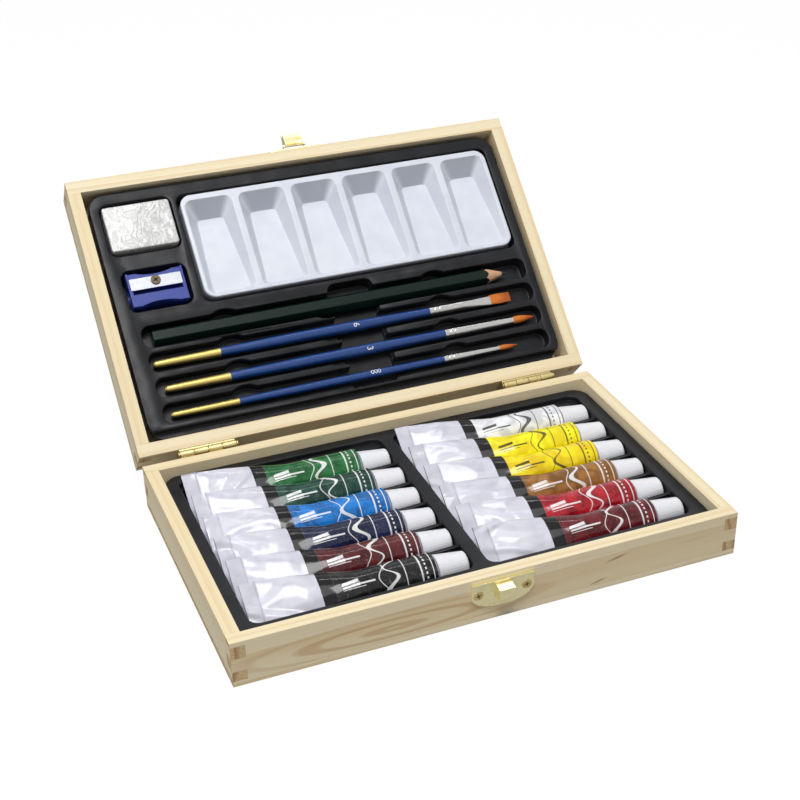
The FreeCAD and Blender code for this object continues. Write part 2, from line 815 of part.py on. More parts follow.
def hasp_lever():
    """A hood of bent sheet on a pin: two cheeks and a cover that ends in a turned-out lip."""
    body = new_body("leverBody")
    ring = "lever_ring_radius"
    near = "lever_length - lever_lip"
    inner = "lever_depth - lever_sheet"
    cheek = [
        ("-0.5 * " + ring, "-0.85 * " + ring),
        ("-" + ring, "0"),
        ("-" + ring, "lever_length / 4"),
        ("lever_depth / 4", "lever_length - lever_lip / 2"),
        (inner, "lever_length - lever_lip / 2"),
        (inner, "lever_length / 3"),
        (ring, "-0.3 * " + ring),
    ]
    cover = [
        (ring, "-0.3 * " + ring),
        (inner, "lever_length / 5"),
        ("lever_depth", "lever_length / 2.6"),
        ("lever_depth", near),
        ("lever_depth + lever_lip * 0.75", "lever_length"),
        ("lever_depth", "lever_length"),
        (inner, near),
        (inner, "lever_length / 2.3"),
        (ring, "1.2 * " + ring),
        ("0", "1.2 * " + ring),
    ]
    for name, points, start, width in (
            ("leverLeft", cheek, "-lever_width / 2", "lever_sheet"),
            ("leverRight", cheek, "lever_width / 2 - lever_sheet", "lever_sheet"),
            ("leverCover", cover, "-lever_width / 2", "lever_width")):
        sketch = sketch_on(body, "YZ_Plane", name, start)
        polygon(sketch, points)
        pad(body, sketch, width)
    bore = sketch_on(body, "YZ_Plane", "leverBore", "-lever_width / 2")
    circle(bore, "0", "0", "lever_pin_radius + screw_fit")
    pocket(body, bore, "lever_width", reverse=True)
    body.Placement = FreeCAD.Placement(Vector(), FreeCAD.Rotation(Vector(-1, 0, 0), 1.0))
    body.setExpression("Placement.Rotation.Angle", linked("lever_swing - lid_lean"))
    place(body, "clasp_centre",
          "lid_y + lever_pivot_y * cos(lid_lean) + lever_pivot_rise * sin(lid_lean)",
          "lid_z + lever_pivot_y * sin(lid_lean) - lever_pivot_rise * cos(lid_lean)")
    keep(body, "hasp_lever")


# formed sheets

def recess(name, x, y, length, width, top, depth, grow, corner="well_corner"):
    """A drafted pocket with rounded corners; grow widens it all round."""
    item = doc.addObject("Part::Wedge", name + "Blank")
    item.Placement.Rotation = FreeCAD.Rotation(Vector(1, 0, 0), 90.0)
    draft = "well_draft * (%s + %s)" % (depth, grow)
    bind(item,
         Xmin="%s - %s + %s" % (x, grow, draft),
         Xmax="%s + %s + %s - %s" % (x, length, grow, draft),
         X2min="%s - %s" % (x, grow),
         X2max="%s + %s + %s" % (x, length, grow),
         Zmin="-(%s) - (%s) - %s + %s" % (y, width, grow, draft),
         Zmax="-(%s) + %s - %s" % (y, grow, draft),
         Z2min="-(%s) - (%s) - %s" % (y, width, grow),
         Z2max="-(%s) + %s" % (y, grow),
         Ymin="%s - (%s) - %s" % (top, depth, grow),
         Ymax=top)
    return rounded(name, item, value(corner) + (0.0 if grow == "0" else value(grow)), upright)


def formed_sheet(label, blocks, wells, sheet, finish):
    """A sheet of one thickness formed over a block, with wells sunk into it.

    blocks(grow) gives the block and wells(grow) its wells, each widened by grow.
    """
    outside = blocks("Outer", "0")
    skin = cut(label + "Skin", outside, blocks("Inner", "-" + sheet))
    walls = common(label + "Walls", fuse(label + "Grown", wells("Outer", sheet)), outside)
    hollow = fuse(label + "Wells", wells("Inner", "0"))
    finish(cut(label + "Formed", fuse(label + "Sheet", [skin, walls]), hollow), label)


def tray_block(name, height, plateau, gap, grow):
    """The outer form of a tray; with a negative grow, the space under its sheet."""
    floor = "-(%s - panel_thickness)" % height
    span = "inner_length - 2 * %s + 2 * %s" % (gap, grow)
    width = "inner_depth - 2 * %s + 2 * %s" % (gap, grow)
    x = "-inner_length / 2 + %s - %s" % (gap, grow)
    y = "-inner_depth / 2 + %s - %s" % (gap, grow)
    tall = "%s - panel_thickness - %s + %s" % (height, plateau, grow)
    body = block(name, x, y, floor, span, width, tall,
                 "tray_corner" if grow == "0" else "tray_corner - tray_sheet")
    if grow == "0":
        top = -value(plateau)
        soften(body, body.Tip, name + "Edge", "tray_edge",
               lambda edge: all(abs(v.Z - top) < 1e-4 for v in edge.Vertexes))
    return body


def base_blocks(kind, grow):
    return tray_block("baseTray" + kind, "base_height", "base_plateau_drop", "base_tray_gap", grow)


def tube_y(row):
    return "first_tube_y - %d * tube_pitch" % row


def tail_x(column):
    return "first_tail_x + %d * column_pitch" % column


def base_wells(kind, grow):
    """Two wells with scallops for the tubes and flared grooves for the caps."""
    wells = []
    axis = Vector(1, 0, 0)
    top = "-base_plateau_drop"
    last = "(tube_rows - 1)"
    for column in (0, 1):
        name = "baseWell%s%d" % (kind, column)
        start = tail_x(column) + " - tail_end_gap"
        front = "first_tube_y - %s * tube_pitch - tube_front_room" % last
        deep = "rows_depth - back_step_width"
        wells.append(recess(name + "Shelf", start + " - shelf_lip", front + " - shelf_lip",
                            "well_length + shelf_lip", "rows_depth + shelf_lip", top,
                            "shelf_drop", grow, corner="shelf_corner"))
        wells.append(recess(name + "Land", start, front, "tail_end_gap + tube_length + shoulder_gap",
                            deep, top, "groove_rise + scallop_land", grow))
        wells.append(recess(name + "Tails", start + " + tail_inset", front + " + tail_inset",
                            "tail_end_gap + tube_taper_end", deep + " - 2 * tail_inset",
                            "-tube_axis_drop - scallop_land",
                            "base_floor_drop - tail_floor_rise - tube_axis_drop - scallop_land",
                            grow, corner="tail_corner"))
        for row in range(int(value("tube_rows"))):
            y = tube_y(row)
            wells.append(cylinder("%sScallop%d" % (name, row), axis,
                                  tail_x(column) + " + tube_taper_end", y, "-tube_axis_drop",
                                  "tube_radius + seat_gap + " + grow,
                                  "tube_length - tube_taper_end + shoulder_gap + " + grow))
            wells.append(cylinder("%sGroove%d" % (name, row), axis,
                                  tail_x(column) + " + tube_length", y, "-tube_axis_drop",
                                  "groove_radius + " + grow,
                                  "running_gap + cap_length + cap_end_gap + " + grow))
            wells.append(flare("%sFlare%d" % (name, row), column, y, grow))
    return wells


def flare(name, column, y, grow):
    """The widening upper part of a cap groove: its back wall leaves room for the leaning lift."""
    item = doc.addObject("Part::Wedge", name)
    item.Placement.Rotation = FreeCAD.Rotation(Vector(1, 0, 0), 90.0)
    start = tail_x(column) + " + tube_length"
    end = start + " + running_gap + cap_length + cap_end_gap + " + grow
    low = "groove_radius / cos(tube_lean) + " + grow
    high = low + " + flare_rise * tan(tube_lean)"
    return bind(item, Xmin=start, Xmax=end, X2min=start, X2max=end,
                Zmin="-(%s) - (%s)" % (y, low), Zmax="-(%s) + groove_radius + groove_ledge + %s" % (y, grow),
                Z2min="-(%s) - (%s)" % (y, high),
                Z2max="-(%s) + groove_radius + groove_front_flare + %s" % (y, grow),
                Ymin="-tube_axis_drop", Ymax="-tube_axis_drop + flare_rise")


def lid_blocks(kind, grow):
    """The lid tray's block steps down along the hinge side."""
    body = tray_block("lidTray" + kind, "lid_height", "lid_plateau_drop", "lid_tray_gap", grow)
    step = box("lidTrayStep" + kind, "-inner_length / 2", "-inner_depth / 2",
               "-lid_plateau_drop - lid_step_drop + " + grow, "inner_length",
               "lid_tray_gap + lid_step_width - " + grow, "lid_step_drop + lid_plateau_drop")
    return cut("lidTrayStepped" + kind, body, step)


def groove_y(row):
    return "(pencil_y - %d * row_pitch)" % row


def lid_wells(kind, grow):
    """Recesses for the eraser, sharpener and palette, four grooves and a finger channel."""
    top = "-lid_plateau_drop"
    wells = []

    def sink(name, x, y, length, width, floor):
        wells.append(recess("lid%s%s" % (name, kind), x, y, length, width, top,
                            floor + " - lid_plateau_drop", grow))

    sink("Eraser", "eraser_x - eraser_recess_length / 2", "eraser_y - eraser_recess_depth / 2",
         "eraser_recess_length", "eraser_recess_depth",
         "eraser_drop + eraser_thickness + seat_gap")
    sink("Sharpener", "eraser_x - sharpener_length / 2 - sharpener_side_gap",
         "sharpener_y - sharpener_depth / 2 - sharpener_side_gap",
         "sharpener_length + 2 * sharpener_side_gap", "sharpener_depth + 2 * sharpener_side_gap",
         "sharpener_drop + sharpener_height + seat_gap")
    sink("Palette", "palette_x - palette_gap", "palette_y - palette_gap",
         "palette_recess_length", "palette_recess_depth",
         "palette_drop + palette_height + seat_gap")
    for row in range(4):
        width = "pencil_groove_width" if row == 0 else "brush_groove_width"
        floor = "pencil_drop + pencil_width + seat_gap" if row == 0 else "brush_floor_drop"
        sink("Groove%d" % row, "groove_x", "%s - %s / 2" % (groove_y(row), width),
             "groove_length", width, floor)
        for number, (start, side) in enumerate((("scallop_first", 1), ("scallop_second", -1),
                                                ("scallop_third", 1))):
            wells.append(grip_scallop("lidScallop%s%d%d" % (kind, row, number), start, side,
                                      groove_y(row), width, floor, grow))
    sink("Channel", "groove_x + finger_channel_start - finger_channel_width / 2",
         groove_y(3) + " - brush_groove_width / 2 - finger_channel_back", "finger_channel_width",
         "3 * row_pitch + brush_groove_width / 2 + pencil_groove_width / 2"
         " + finger_channel_back + finger_channel_front", "finger_channel_depth")
    return wells


def grip_scallop(name, start, side, y, width, floor, grow):
    """A shallow bow in one wall of a groove, for the fingertips."""
    depth = "(scallop_depth + %s)" % grow
    chord = "(scallop_chord + 2 * %s)" % grow
    radius = "((%s^2 / 4 + %s^2) / (2 * %s))" % (chord, depth, depth)
    wall = "%s + %d * %s / 2" % (y, side, width)
    drop = "-(%s) - %s" % (floor, grow)
    tall = "%s - lid_plateau_drop + %s" % (floor, grow)
    round_bar = cylinder(name + "Bar", Vector(0, 0, 1), "groove_x + " + start,
                         "%s - %d * (%s - %s)" % (wall, side, radius, depth), drop, radius, tall)
    reach = "(%s + groove_overlap)" % depth
    strip = box(name + "Strip", "groove_x + %s - %s" % (start, radius),
                "%s - groove_overlap" % wall if side > 0 else "%s - %s" % (wall, depth), drop,
                "2 * " + radius, reach, tall)
    return common(name, round_bar, strip)


# palette

def rounded_quad(corners, radius):
    """A closed wire through four corners in one plane, each rounded by the radius."""
    edges = []
    count = len(corners)
    arcs = []
    for number in range(count):
        corner = corners[number]
        back = (corners[number - 1] - corner).normalize()
        ahead = (corners[(number + 1) % count] - corner).normalize()
        half_angle = back.getAngle(ahead) / 2
        run = radius / math.tan(half_angle)
        bisector = (back + ahead).normalize()
        middle = corner + bisector * (radius / math.sin(half_angle) - radius)
        arcs.append((corner + back * run, middle, corner + ahead * run))
    for number in range(count):
        begin, middle, end = arcs[number]
        edges.append(Part.Arc(begin, middle, end).toShape())
        edges.append(Part.LineSegment(end, arcs[(number + 1) % count][0]).toShape())
    return Part.Wire(edges)


def paint_wells(kind, grow):
    """Slanted wells: deep and narrow in front, rising to the back edge."""
    extra = value("palette_wall") if grow != "0" else 0.0
    top = -value("palette_drop")
    back = value("palette_y") + value("palette_back_rim") - extra
    front = value("palette_y") + value("palette_depth") - value("palette_front_rim") + extra
    wells = []
    for number in range(int(value("palette_wells"))):
        centre = (value("palette_x") + value("palette_end_rim") + value("paint_well_width") / 2
                  + number * value("paint_well_pitch"))
        half = value("paint_well_width") / 2 + extra
        deep_half = value("paint_well_floor_width") / 2 + extra
        high_half = half - value("paint_well_shallow_narrowing")
        deep = top - value("paint_well_depth") - extra
        high = top - value("paint_well_shallow_depth") - extra
        deep_y = front - value("paint_well_front_slope")
        high_y = back + value("paint_well_back_slope")
        mouth = [Vector(centre - half, back, top), Vector(centre + half, back, top),
                 Vector(centre + half, front, top), Vector(centre - half, front, top)]
        floor = [Vector(centre - high_half, high_y, high), Vector(centre + high_half, high_y, high),
                 Vector(centre + deep_half, deep_y, deep), Vector(centre - deep_half, deep_y, deep)]
        well = doc.addObject("Part::Feature", "paintWell%s%d" % (kind, number))
        well.Shape = Part.makeLoft([rounded_quad(mouth, value("paint_well_corner") + extra),
                                    rounded_quad(floor, value("paint_well_floor_corner") + extra)],
                                   True, True)
        wells.append(well)
    return wells


def palette_blocks(kind, grow):
    body = block("palette" + kind, "palette_x - " + grow, "palette_y - " + grow,
                 "-palette_drop - palette_height", "palette_length + 2 * " + grow,
                 "palette_depth + 2 * " + grow, "palette_height + " + grow,
                 "palette_corner + " + grow)
    if grow == "0":
        top = -value("palette_drop")
        soften(body, body.Tip, "palette" + kind + "Edge", "palette_edge",
               lambda edge: all(abs(v.Z - top) < 1e-4 for v in edge.Vertexes))
    return body


# eraser, sharpener and pencil

def eraser():
    body = block("eraserBody", "eraser_x - eraser_length / 2", "eraser_y - eraser_depth / 2",
                 "-eraser_drop - eraser_thickness", "eraser_length", "eraser_depth",
                 "eraser_thickness", "eraser_edge")
    levels = (-value("eraser_drop"), -value("eraser_drop") - value("eraser_thickness"))
    soften(body, body.Tip, "eraserEdges", "eraser_edge / 2",
           lambda edge: any(all(abs(v.Z - level) < 1e-4 for v in edge.Vertexes)
                            for level in levels))
    in_lid(body, "eraser")


def sharpener():
    """A waisted block with a cone-shaped bore that breaks out in a slot beside the blade."""
    bore_axis = "(-sharpener_drop - sharpener_bore_drop)"
    top = "-sharpener_drop"
    left = "eraser_x - sharpener_length / 2"
    blank = box("sharpenerBlank", left, "sharpener_y - sharpener_depth / 2",
                "-sharpener_drop - sharpener_height", "sharpener_length", "sharpener_depth",
                "sharpener_height")
    radius = "((sharpener_waist_length^2 / 4 + sharpener_waist^2) / (2 * sharpener_waist))"
    cutters = []
    for side in (-1, 1):
        cutters.append(cylinder("sharpenerWaist%d" % (side + 1), Vector(0, 0, 1), "eraser_x",
                                "sharpener_y + %d * (sharpener_depth / 2 + %s - sharpener_waist)"
                                % (side, radius), "-sharpener_drop - sharpener_height", radius,
                                "sharpener_height"))
    cutters.append(cone("sharpenerBore", Vector(1, 0, 0), left, "sharpener_y", bore_axis,
                        "sharpener_mouth_radius", "sharpener_throat_radius", "sharpener_length"))
    cutters.append(box("sharpenerSlot", "eraser_x - blade_length / 2 + blade_thickness",
                       "sharpener_y - sharpener_slot_width", bore_axis,
                       "blade_length - 2 * blade_thickness", "sharpener_slot_width",
                       "sharpener_height"))
    cutters.append(box("sharpenerBladeSeat", "eraser_x - blade_length / 2 - screw_fit",
                       "sharpener_y - screw_fit", "%s - blade_drop" % top,
                       "blade_length + 2 * screw_fit", "sharpener_depth", "sharpener_height / 2"))
    cutters.append(cylinder("sharpenerScrewBore", Vector(0, 0, 1), "eraser_x",
                            "sharpener_y + blade_hole_offset", "%s - blade_drop - blade_screw_length" % top,
                            "blade_screw_radius + screw_fit", "blade_screw_length"))
    in_lid(cut("sharpenerCut", blank, fuse("sharpenerCutters", cutters)), "sharpener_body")
    blade = box("bladeBlank", "eraser_x - blade_length / 2", "sharpener_y",
                "%s - blade_drop" % top, "blade_length", "blade_width", "blade_thickness")
    hole = cylinder("bladeHole", Vector(0, 0, 1), "eraser_x", "sharpener_y + blade_hole_offset",
                    "%s - blade_drop" % top, "blade_screw_radius + screw_fit", "blade_thickness")
    in_lid(cut("bladeCut", blade, hole), "sharpener_blade")
    shank = cylinder("bladeShank", Vector(0, 0, 1), "eraser_x", "sharpener_y + blade_hole_offset",
                     "%s - blade_drop + blade_thickness - blade_screw_length" % top,
                     "blade_screw_radius", "blade_screw_length")
    head = cylinder("bladeHead", Vector(0, 0, 1), "eraser_x", "sharpener_y + blade_hole_offset",
                    "%s - blade_drop + blade_thickness" % top, "blade_screw_head_radius",
                    "blade_screw_head_height")
    in_lid(fuse("bladeScrew", [shank, head]), "sharpener_screw")

def pencil():
    """A six-sided body sharpened by a cone, round a lead that ends in a point."""
    axis = Vector(1, 0, 0)
    start = "groove_x + pencil_butt_gap"
    centre = "-pencil_axis_drop"
    corner = "(pencil_width / 2 / cos(30))"
    prism = doc.addObject("Part::Prism", "pencilPrism")
    prism.Polygon = 6
    flats_level = FreeCAD.Rotation(Vector(0, 0, 1), 30.0)
    prism.Placement.Rotation = FreeCAD.Rotation(Vector(0, 0, 1), axis).multiply(flats_level)
    bind(prism, Circumradius=corner, Height="pencil_length")
    place(prism, start, "pencil_y", centre)
    slope = "(pencil_point_length / (pencil_width / 2))"
    shoulder = "(pencil_length - %s * %s)" % (slope, corner)
    wood_end = "(pencil_length - %s * pencil_lead_radius)" % slope
    barrel = cylinder("pencilBarrel", axis, start, "pencil_y", centre, corner, shoulder)
    point = cone("pencilPoint", axis, "%s + %s" % (start, shoulder), "pencil_y", centre, corner,
                 "pencil_lead_radius", "%s - %s" % (wood_end, shoulder))
    wood = common("pencilWood", prism, fuse("pencilEnvelope", [barrel, point]))
    bore = cylinder("pencilBore", axis, start, "pencil_y", centre, "pencil_lead_radius",
                    "pencil_length")
    in_lid(cut("pencilBored", wood, bore), "pencil_body")
    lead = cylinder("leadRod", axis, start, "pencil_y", centre, "pencil_lead_radius", wood_end)
    tip = cone("leadTip", axis, "%s + %s" % (start, wood_end), "pencil_y", centre,
               "pencil_lead_radius", "pencil_lead_tip_radius", "pencil_length - %s" % wood_end)
    in_lid(fuse("leadJoined", [lead, tip]), "pencil_lead")


# brushes

def turned(name, points, x, y, z):
    """A body turned about the X axis from (distance, radius) pairs along its outline."""
    body = new_body(name)
    sketch = sketch_on(body, "XZ_Plane", name + "Outline")
    outline = [("0", points[0][0])] + [(r, along) for along, r in points] + [("0", points[-1][0])]
    polygon(sketch, outline)
    revolve(body, sketch)
    body.Placement.Rotation = FreeCAD.Rotation(Vector(0, 0, 1), Vector(1, 0, 0))
    place(body, x, y, z)
    return body


def flat_loft(name, sections, x, y, z):
    """A ruled loft through ellipses of (distance, half width, half thickness) along X."""
    rings = []
    for number, (along, wide, thin) in enumerate(sections):
        ring = doc.addObject("Part::Ellipse", "%sRing%d" % (name, number))
        bind(ring, MajorRadius=wide, MinorRadius=thin)
        ring.Placement.Rotation = FreeCAD.Rotation(Vector(0, 1, 0), Vector(0, 0, 1),
                                                   Vector(1, 0, 0), "ZXY")
        place(ring, "%s + %s" % (x, along), y, z)
        rings.append(ring)
    loft = doc.addObject("Part::Loft", name)
    loft.Sections = rings
    loft.Solid = True
    loft.Ruled = True
    return loft


def brush(name, row):
    """Handle with a swelling belly, ferrule with two crimp rings, and a flat or pointed tuft."""
    start = "groove_x + %s_start" % name
    y = groove_y(row)
    z = "-brush_axis_drop"
    butt, belly, neck = (name + "_butt", name + "_belly", name + "_neck")
    length = name + "_handle"
    handle = [("0", "0.5 * " + butt), ("brush_end_round", "0.9 * " + butt),
              ("0.15 * %s_dip" % name, butt),
              (name + "_dip", "(%s + %s) / 2" % (butt, belly)),
              ("0.45 * " + length, belly), ("0.75 * " + length, belly), (length, neck)]
    keep_in_lid(turned(name + "Handle", handle, start, y, z), name + "_brush_handle")
    start = "%s + %s" % (start, length)
    ferrule_end, tip = (name + "_ferrule_end", name + "_tuft_tip")
    ferrule_length, tuft_length = (name + "_ferrule", name + "_tuft")
    outer = neck + " + ferrule_sheet"
    rings = [("0", outer)]
    for number in (0, 1):
        at = "ferrule_ring_start + %d * ferrule_ring_pitch" % number
        rings += [(at, outer), (at + " + ferrule_ring_width / 2", outer + " - ferrule_ring_depth"),
                  (at + " + ferrule_ring_width", outer)]
    if name == "flat":
        sleeve = "ferrule_sleeve_share * " + ferrule_length
        rings.append((sleeve, outer))
        ferrule = fuse(name + "Ferrule", [
            turned(name + "Sleeve", rings, start, y, z),
            flat_loft(name + "Fan", [(sleeve, outer, outer),
                                     (ferrule_length, ferrule_end, "tuft_thickness")],
                      start, y, z)])
        tuft = flat_loft(name + "Tuft", [
            (ferrule_length, ferrule_end + " - tuft_inset", "tuft_thickness - tuft_inset"),
            ("%s + 0.5 * %s" % (ferrule_length, tuft_length), ferrule_end, "0.8 * tuft_thickness"),
            ("%s + %s" % (ferrule_length, tuft_length), tip, "0.2 * tuft_thickness")], start, y, z)
    else:
        rings.append((ferrule_length, ferrule_end))
        ferrule = turned(name + "Sleeve", rings, start, y, z)
        tuft = turned(name + "Tuft", [("0", ferrule_end + " - tuft_inset"),
                                      ("0.3 * " + tuft_length, ferrule_end),
                                      ("0.65 * " + tuft_length, "0.7 * " + ferrule_end),
                                      (tuft_length, tip)],
                      "%s + %s" % (start, ferrule_length), y, z)
    keep_in_lid(ferrule, name + "_brush_ferrule")
    keep_in_lid(tuft, name + "_brush_bristles")


def keep_in_lid(item, label):
    """A piece drawn about its own axis, carried into the lid as a whole."""
    in_lid(group(label + "Carried", [item]), label)


# paint tubes

def flattening(step, steps):
    """How far a squeezed tube has spread at a station between round (0) and flat (1)."""
    return 1.0 - (1.0 - step / steps) ** (5.0 / 3.0)


def tube(label, column, row):
    """A tube drawn along its own axis: folded crimp, ruled taper, barrel, shoulder and neck."""
    name = label.title().replace("_", "")
    steps = 3
    rings = []
    for step in range(steps, -1, -1):
        share = step / steps
        ring = doc.addObject("Part::Ellipse", "%sRing%d" % (name, step))
        bind(ring,
             MajorRadius="tube_radius + (tail_half_width - tube_radius) * %.4f"
                         % flattening(step, steps),
             MinorRadius="tube_radius * %.4f + crimp_thickness / 2 * %.4f" % (1 - share, share))
        place(ring, "tail_shift * %.4f * cos(tail_tilt)" % share,
              "-tail_shift * %.4f * sin(tail_tilt)" % share,
              "crimp_length + tube_taper_length * %.4f" % (1 - share))
        rings.append(ring)
    taper = doc.addObject("Part::Loft", name + "Taper")
    taper.Sections = rings
    taper.Solid = True
    taper.Ruled = True
    up = Vector(0, 0, 1)
    crimp = box(name + "Crimp", "tail_shift * cos(tail_tilt) - tail_half_width",
                "-tail_shift * sin(tail_tilt) - crimp_thickness / 2", "0",
                "2 * tail_half_width", "crimp_thickness", "crimp_length")
    barrel = cylinder(name + "Barrel", up, "0", "0", "tube_taper_end", "tube_radius",
                      "tube_length - shoulder_length - tube_taper_end")
    shoulder = cone(name + "Shoulder", up, "0", "0", "tube_length - shoulder_length",
                    "shoulder_edge_radius", "shoulder_end_radius", "shoulder_length")
    neck = cylinder(name + "Neck", up, "0", "0", "tube_length", "neck_radius", "neck_length")
    whole = fuse(name + "Joined", [crimp, taper, barrel, shoulder, neck])
    lean = math.radians(value("tail_tilt"))
    whole.Placement.Rotation = FreeCAD.Rotation(Vector(0, math.cos(lean), math.sin(lean)),
                                                Vector(0, -math.sin(lean), math.cos(lean)),
                                                Vector(1, 0, 0), "ZXY")
    place(whole, tail_x(column), tube_y(row), "base_height - tube_axis_drop")
    keep(whole, label)


def cap(label, column, row):
    """A tapering cap with a blind bore that clears the neck."""
    body = new_body(label.title().replace("_", ""))
    sketch = sketch_on(body, "XZ_Plane", body.Name + "Outline")
    bore = "neck_radius + running_gap"
    roof = "cap_length - cap_roof"
    polygon(sketch, [(bore, "0"), ("cap_radius", "0"),
                     ("cap_end_radius", "cap_length - cap_end_chamfer"),
                     ("cap_end_radius - cap_end_chamfer", "cap_length"),
                     ("0", "cap_length"), ("0", roof), (bore, roof)])
    revolve(body, sketch)
    body.Placement.Rotation = FreeCAD.Rotation(Vector(0, 0, 1), Vector(1, 0, 0))
    place(body, tail_x(column) + " + tube_length + running_gap", tube_y(row),
          "base_height - tube_axis_drop")
    keep(body, label)


def build():
    case_half("base", "base_height", "base_bottom_panel", in_base)
    case_half("lid", "lid_height", "lid_top_panel", in_lid)
    formed_sheet("base_tray", base_blocks, base_wells, "tray_sheet", in_base)
    formed_sheet("lid_tray", lid_blocks, lid_wells, "tray_sheet", in_lid)
    hinge_leaves("base", in_base)
    hinge_leaves("lid", in_lid)
    pivot_pins()
    screws("base", in_base)
    screws("lid", in_lid)
    keeper_plate()
    hasp_plate()
    hasp_lever()
    formed_sheet("palette", palette_blocks, paint_wells, "palette_wall", in_lid)
    eraser()
    sharpener()
    pencil()
    for row, name in enumerate(BRUSHES, start=1):
        brush(name, row)
    for column, side in enumerate(("left", "right")):
        for row in range(int(value("tube_rows"))):
            tube("%s_tube_%d" % (side, row + 1), column, row)
            cap("%s_cap_%d" % (side, row + 1), column, row)
    doc.recompute()


def check():
    for item in doc.Objects:
        if "Invalid" in item.State or "Error" in item.State:
            raise RuntimeError("%s failed: %s" % (item.Label, item.State))
    for item in PIECES:
        if item.Shape.isNull() or not item.Shape.isValid():
            raise RuntimeError("%s has no valid shape" % item.Label)
        if item.Shape.Volume <= 0:
            raise RuntimeError("%s has no volume" % item.Label)


def export():
    os.makedirs("parts", exist_ok=True)
    for item in PIECES:
        item.Shape.exportStep("parts/%s.step" % item.Label)
        print("%-24s solids %2d  volume %10.1f" % (item.Label, len(item.Shape.Solids),
                                                   item.Shape.Volume))


build()
check()
export()
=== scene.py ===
"""A paint set in a hinged wooden case, dressed for the camera. Metres, X along the case, Z up."""
import bpy
import bmesh
import math
from mathutils import Matrix, Vector


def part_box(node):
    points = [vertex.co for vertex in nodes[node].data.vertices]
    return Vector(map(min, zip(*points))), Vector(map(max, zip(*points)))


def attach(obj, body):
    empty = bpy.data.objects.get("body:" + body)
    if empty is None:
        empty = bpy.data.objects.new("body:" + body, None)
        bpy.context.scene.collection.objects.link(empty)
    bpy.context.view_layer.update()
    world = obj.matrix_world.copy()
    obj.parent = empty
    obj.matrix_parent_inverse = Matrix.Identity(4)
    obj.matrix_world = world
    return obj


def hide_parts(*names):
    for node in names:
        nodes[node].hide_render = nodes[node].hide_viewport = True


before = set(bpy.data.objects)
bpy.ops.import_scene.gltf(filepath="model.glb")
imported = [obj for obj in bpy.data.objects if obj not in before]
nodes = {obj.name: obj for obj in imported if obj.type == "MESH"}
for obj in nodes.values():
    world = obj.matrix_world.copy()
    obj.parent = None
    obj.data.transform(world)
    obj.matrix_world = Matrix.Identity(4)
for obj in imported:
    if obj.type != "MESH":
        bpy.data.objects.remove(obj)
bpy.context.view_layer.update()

# ---- Camera
# The case stands open on a table and is seen from the front left, from a little above.
# The view is measured in millimetres, and the lens covers 800 pixels.
lens_focus = 1518.073
lens_centre = (456.573, 486.086)
eye = Vector((-201.557, -496.996, 363.496)) / 1000
view_right = Vector((0.91823424, -0.39600855, -0.00480747))
view_up = Vector((0.21663295, 0.49207597, 0.84316749))
view_back = Vector((-0.3315359, -0.77526671, 0.5376295))

camera = bpy.data.objects.new("camera", bpy.data.cameras.new("camera"))
bpy.context.scene.collection.objects.link(camera)
camera.data.sensor_width = 36.0
camera.data.lens = lens_focus * camera.data.sensor_width / 800
camera.data.shift_x = (400 - lens_centre[0]) / 800
camera.data.shift_y = (lens_centre[1] - 400) / 800
camera.data.clip_start = 0.01
camera.matrix_world = Matrix((
    (view_right.x, view_up.x, view_back.x, eye.x),
    (view_right.y, view_up.y, view_back.y, eye.y),
    (view_right.z, view_up.z, view_back.z, eye.z),
    (0, 0, 0, 1)))
bpy.context.scene.camera = camera
bpy.context.scene.view_settings.view_transform = "Standard"


# ---- Pine case
# Boards of pale bare pine with finger joints at the corners, and thin pine panels glued on.
# The grain runs along each board, with wide darker arches where the saw met the rings.

def colour(red, green, blue):
    """A screen colour from 0 to 255, as the light values that shaders work in."""
    def light(level):
        level /= 255
        return level / 12.92 if level <= 0.04045 else ((level + 0.055) / 1.055) ** 2.4
    return (light(red), light(green), light(blue), 1.0)


class Value:
    """A number that varies over a surface; sums and products on it add Math nodes."""

    def __init__(self, finish, socket):
        self.finish = finish
        self.socket = socket

    def _math(self, operation, *numbers):
        return self.finish.add("ShaderNodeMath", {"operation": operation}, *numbers)

    def __add__(self, other): return self._math("ADD", self, other)
    def __radd__(self, other): return self._math("ADD", other, self)
    def __sub__(self, other): return self._math("SUBTRACT", self, other)
    def __rsub__(self, other): return self._math("SUBTRACT", other, self)
    def __mul__(self, other): return self._math("MULTIPLY", self, other)
    def __rmul__(self, other): return self._math("MULTIPLY", other, self)
    def __truediv__(self, other): return self._math("DIVIDE", self, other)
    def __rtruediv__(self, other): return self._math("DIVIDE", other, self)
    def __pow__(self, other): return self._math("POWER", self, other)
    def __lt__(self, other): return self._math("LESS_THAN", self, other)
    def __gt__(self, other): return self._math("GREATER_THAN", self, other)
    def __abs__(self): return self._math("ABSOLUTE", self)
    def sine(self): return self._math("SINE", self)
    def root(self): return self._math("SQRT", self)
    def angle(self, other): return self._math("ARCTAN2", self, other)
    def steps(self): return self._math("FLOOR", self)

    def ramp(self, low, high):
        """0 below low and 1 above high, with a smooth rise between."""
        return self.finish.add("ShaderNodeMapRange", {"interpolation_type": "SMOOTHSTEP"},
                               self, low, high, 0.0, 1.0)

    def band(self, low, high, edge):
        """1 between low and high, with soft edges."""
        return self.ramp(low - edge, low + edge) * (1 - self.ramp(high - edge, high + edge))


